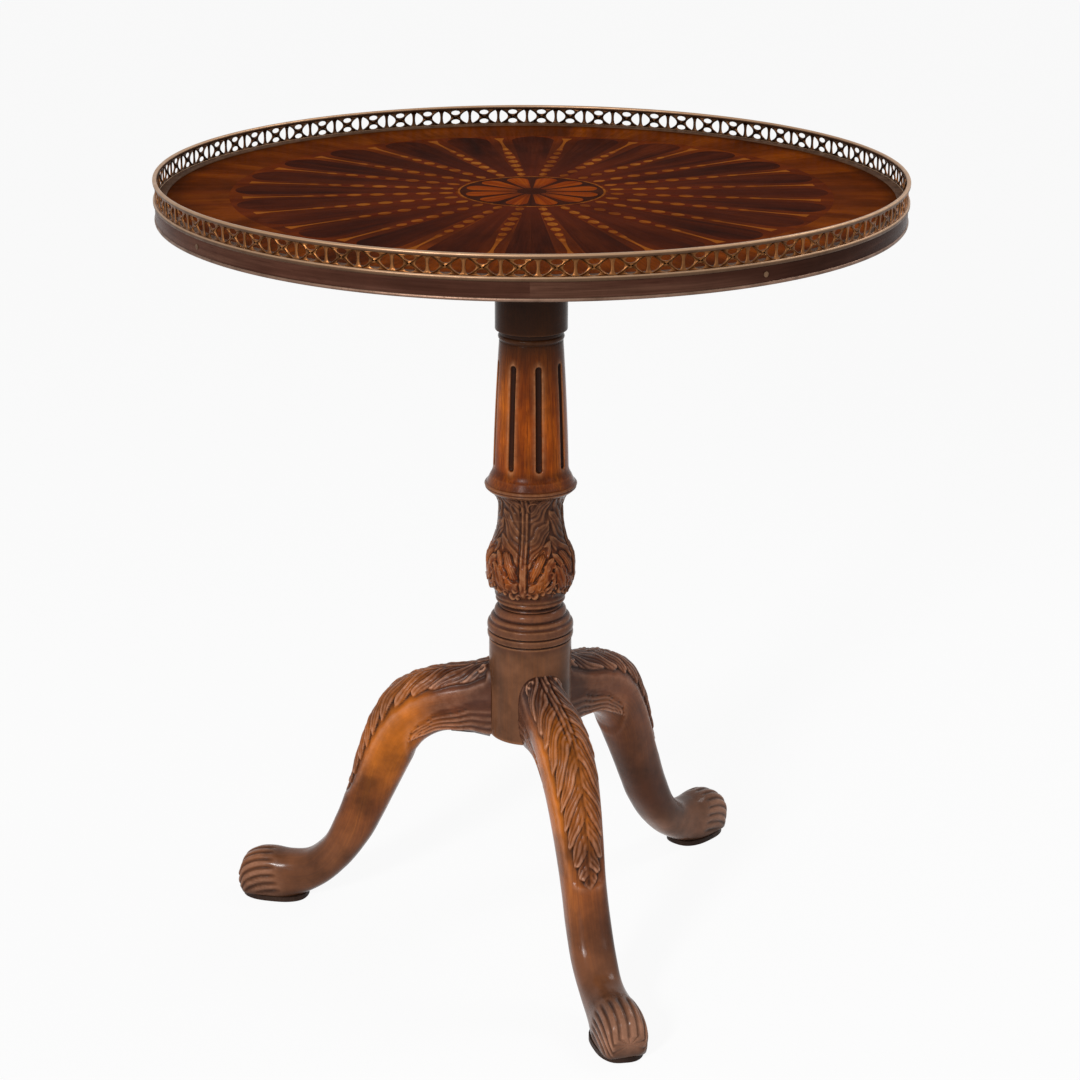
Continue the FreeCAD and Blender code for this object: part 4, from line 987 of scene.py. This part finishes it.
# Hoops round the tray: name, finish, slot, nodes they stand for, easing, and (radius, height) corners.
HOOPS = (
    ("gallery_foot_moulding", "gallery_brass", "gallery_brass", ("gallery_foot_rail",), 0.35,
     ((340.6, 742.0), (342.0, 742.0), (342.0, 739.5), (343.9, 739.5), (344.5, 740.6), (344.5, 742.4),
      (343.7, 743.5), (340.6, 743.5))),
    ("gallery_foot_flange", "gallery_flange", "gallery_brass", (), 0.3,
     ((332.5, 742.0), (340.6, 742.0), (340.6, 743.4), (333.4, 743.4), (332.6, 742.9))),
    ("gallery_top_moulding", "gallery_brass", "gallery_brass", ("gallery_top_rail",), 0.5,
     ((341.3, 758.0), (343.7, 758.0), (344.4, 759.2), (344.4, 760.9), (343.6, 761.9), (341.4, 761.9),
      (340.6, 760.9), (340.6, 759.2))),
    ("lipping", "edge_wood", "edge_wood", ("edge_band",), 0.3,
     ((338.0, 723.1), (341.5, 723.1), (341.5, 726.0), (343.0, 726.0), (343.0, 739.5), (342.0, 739.5),
      (342.0, 741.9), (338.0, 741.9))),
    ("lipping_line", "edge_line", "edge_line", ("edge_line",), 0.4,
     ((341.5, 723.0), (343.2, 723.0), (343.8, 723.9), (343.8, 725.1), (343.2, 726.0), (341.5, 726.0))))


# ---------------------------------------------------------------- marquetry beads and lines

SURFACE, INLAY_DEPTH, BEAD_PROUD, GROUND_PROUD = 742.0, 0.5, 0.12, 0.06
RAYS = 7.5 + 15.0 * np.arange(24)
# Beads along a ray: reach, half length and half width.
BEADS = np.array([(79, 6.4, 4.0), (100, 6.8, 4.7), (121, 7.0, 5.0), (142, 7.0, 5.0), (163, 6.8, 4.7),
                  (184, 6.4, 3.8), (205, 5.6, 2.8)])
# The ground of a ray: reach and half its width.
GROUND = np.array([(70, 3.0), (90, 4.4), (130, 5.2), (170, 5.0), (200, 3.4), (214, 1.9), (232, 1.3),
                   (246, 1.5), (254, 2.6), (260, 4.4), (264, 5.0)])


def put_inlays(name, outlines, bearings, proud, lid, finish, stands_for):
    """Thin inlays let into the tray, one for each outline and bearing.

    outlines holds (reach, across) corners, and lid the faces over them. The floor has the lid's
    faces turned over, and a wall stands on each side of the outline.
    """
    reach, across = outlines[..., 0][:, None], outlines[..., 1][:, None]
    levels = np.array([SURFACE - INLAY_DEPTH, SURFACE + proud])[None, :, None]
    loops = around(reach, across, levels, np.asarray(bearings)[:, None, None])
    count = outlines.shape[1]
    here = np.arange(count)
    after = (here + 1) % count
    wall = np.stack([here, after, count + after, count + here], -1)
    points, faces = repeated(loops.reshape(len(loops), -1, 3), [wall, lid[:, ::-1], lid + count], len(loops))
    put_piece(name, points, faces, "top", finish, stands_for, smooth=False)


def make_beads():
    """Chains of light beads between the petals, each running out into a thin line that flares.

    A bead's outline is its half length times the powered cosine by its half width times the powered
    sine, which points it a little.
    """
    turns = np.linspace(0, 2 * np.pi, 21)[:-1]
    swell, spans = powered(np.cos(turns), 1.15), powered(np.sin(turns), 1.15)
    reach, length, width = (BEADS[:, column, None] for column in range(3))
    bead = np.stack([reach + length * swell, width * spans], -1)
    rungs = np.arange(1, 10)
    lid = np.stack([rungs - 1, rungs, 19 - rungs, 20 - rungs], -1)
    put_inlays("light_beads", np.tile(bead, (len(RAYS), 1, 1)), np.repeat(RAYS, len(BEADS)), BEAD_PROUD,
               lid, "light_inlay", ("line_inlays",))
    strip = np.concatenate([GROUND, GROUND[::-1] * (1, -1)])
    steps = np.arange(len(GROUND) - 1)
    last = len(strip) - 1
    lid = np.stack([last - steps, last - 1 - steps, steps + 1, steps], -1)
    put_inlays("chain_ground", np.repeat(strip[None], len(RAYS), 0), RAYS, GROUND_PROUD, lid,
               "chain_ground", ())


# ---------------------------------------------------------------- build

make_column()
make_legs()
make_fret()
for ring in HOOPS:
    hoop(*ring)
make_beads()

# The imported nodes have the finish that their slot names, apart from these two.
NODE_FINISH = {"tilt_block": "block_wood", "medallion_shells": "shell_inlay"}
slot_of = {part["node"]: part["material_slot"] for part in frame["record"]["subparts"]}
for node_name, node in frame["nodes"].items():
    chosen = FINISHES[NODE_FINISH.get(node_name, slot_of[node_name])]
    node.data.materials.clear()
    node.data.materials.append(chosen)


# ---------------------------------------------------------------- stage, light and camera

FLOOR_REACH, FLOOR_WHITE, FILL_STRENGTH = 16.0, 0.92, 0.29
CAMERA_TIP, CAMERA_ROLL, CAMERA_LENS = math.radians(19.11994), -0.0047387, 88.4226
CAMERA_PLACE = (0.009021, -2.405147, 1.236982)


def white_for_eye(tree, plain, glow_kind, share):
    """Mixes a lit shader with plain white that only the camera, mirrors and glass see.

    glow_kind is "Emission" on a surface and "Background" in the world.
    """
    path = add_node(tree, "LightPath").outputs
    seen = maths(tree, "MAXIMUM", path["Is Camera Ray"],
                 maths(tree, "MAXIMUM", path["Is Glossy Ray"], path["Is Transmission Ray"]))
    glow = add_node(tree, glow_kind, {0: (1, 1, 1, 1), 1: 1.0}).outputs[0]
    return add_node(tree, "MixShader", {0: times(tree, seen, share), 1: plain, 2: glow}).outputs[0]


def make_stage():
    """A wide pale floor and an even white surround."""
    mesh = bpy.data.meshes.new("floor")
    corners = [(x * FLOOR_REACH, y * FLOOR_REACH, 0) for x, y in ((-1, -1), (1, -1), (1, 1), (-1, 1))]
    mesh.from_pydata(corners, [], [(0, 1, 2, 3)])
    floor = bpy.data.objects.new("floor", mesh)
    bpy.context.scene.collection.objects.link(floor)
    paint, tree, shader = start_finish("floor paint")
    shader.inputs["Base Color"].default_value = (0.8, 0.8, 0.8, 1)
    shader.inputs["Roughness"].default_value = 0.9
    plug(tree, tree.nodes["Material Output"].inputs[0],
         white_for_eye(tree, shader.outputs[0], "Emission", FLOOR_WHITE))
    mesh.materials.append(paint)
    world = bpy.data.worlds.new("surround")
    bpy.context.scene.world = world
    world.use_nodes = True
    tree = world.node_tree
    fill = tree.nodes["Background"]
    fill.inputs[0].default_value = (1.0, 1.0, 1.0, 1)
    fill.inputs[1].default_value = FILL_STRENGTH
    plug(tree, tree.nodes["World Output"].inputs[0],
         white_for_eye(tree, fill.outputs[0], "Background", 1.0))


def stand(name, data, right, up, back, place):
    """A lamp or camera at a place, given the ways of its own three axes."""
    holder = bpy.data.objects.new(name, data)
    holder.matrix_world = Matrix(np.column_stack([right, up, back, place]).tolist() + [[0, 0, 0, 1]])
    bpy.context.scene.collection.objects.link(holder)
    return holder


def add_lamp(name, place, aim, wide, tall, power):
    """An area lamp that faces a point."""
    lamp = bpy.data.lights.new(name, "AREA")
    lamp.shape = "RECTANGLE"
    lamp.size, lamp.size_y, lamp.energy = wide, tall, power
    away = np.subtract(place, aim)
    away = away / np.linalg.norm(away)
    right = np.cross((0, 0, 1), away)
    right /= np.linalg.norm(right)
    stand(name, lamp, right, np.cross(away, right), away, place)


def make_camera():
    """The camera, tipped down and then turned a little about its own line of sight."""
    up, back = np.array([[0, math.sin(CAMERA_TIP), math.cos(CAMERA_TIP)],
                         [0, -math.cos(CAMERA_TIP), math.sin(CAMERA_TIP)]])
    right = np.array([1.0, 0, 0])
    lens = bpy.data.cameras.new("camera")
    lens.sensor_width, lens.lens, lens.clip_end = 36.0, CAMERA_LENS, 100.0
    bpy.context.scene.camera = stand(
        "camera", lens, math.cos(CAMERA_ROLL) * right - math.sin(CAMERA_ROLL) * up,
        math.sin(CAMERA_ROLL) * right + math.cos(CAMERA_ROLL) * up, back, CAMERA_PLACE)


make_stage()
add_lamp("left window", (-1.35, -2.75, 1.75), (0, 0, 0.4), 0.45, 0.6, 91.0)
add_lamp("right fill", (2.6, -1.6, 1.4), (0, 0, 0.45), 0.7, 0.7, 5.2)
add_lamp("over the tray", (1.5, 0.7, 2.3), (0, 0, 0.7), 0.8, 0.8, 17.0)
make_camera()
bpy.context.scene.view_settings.view_transform = "Standard"
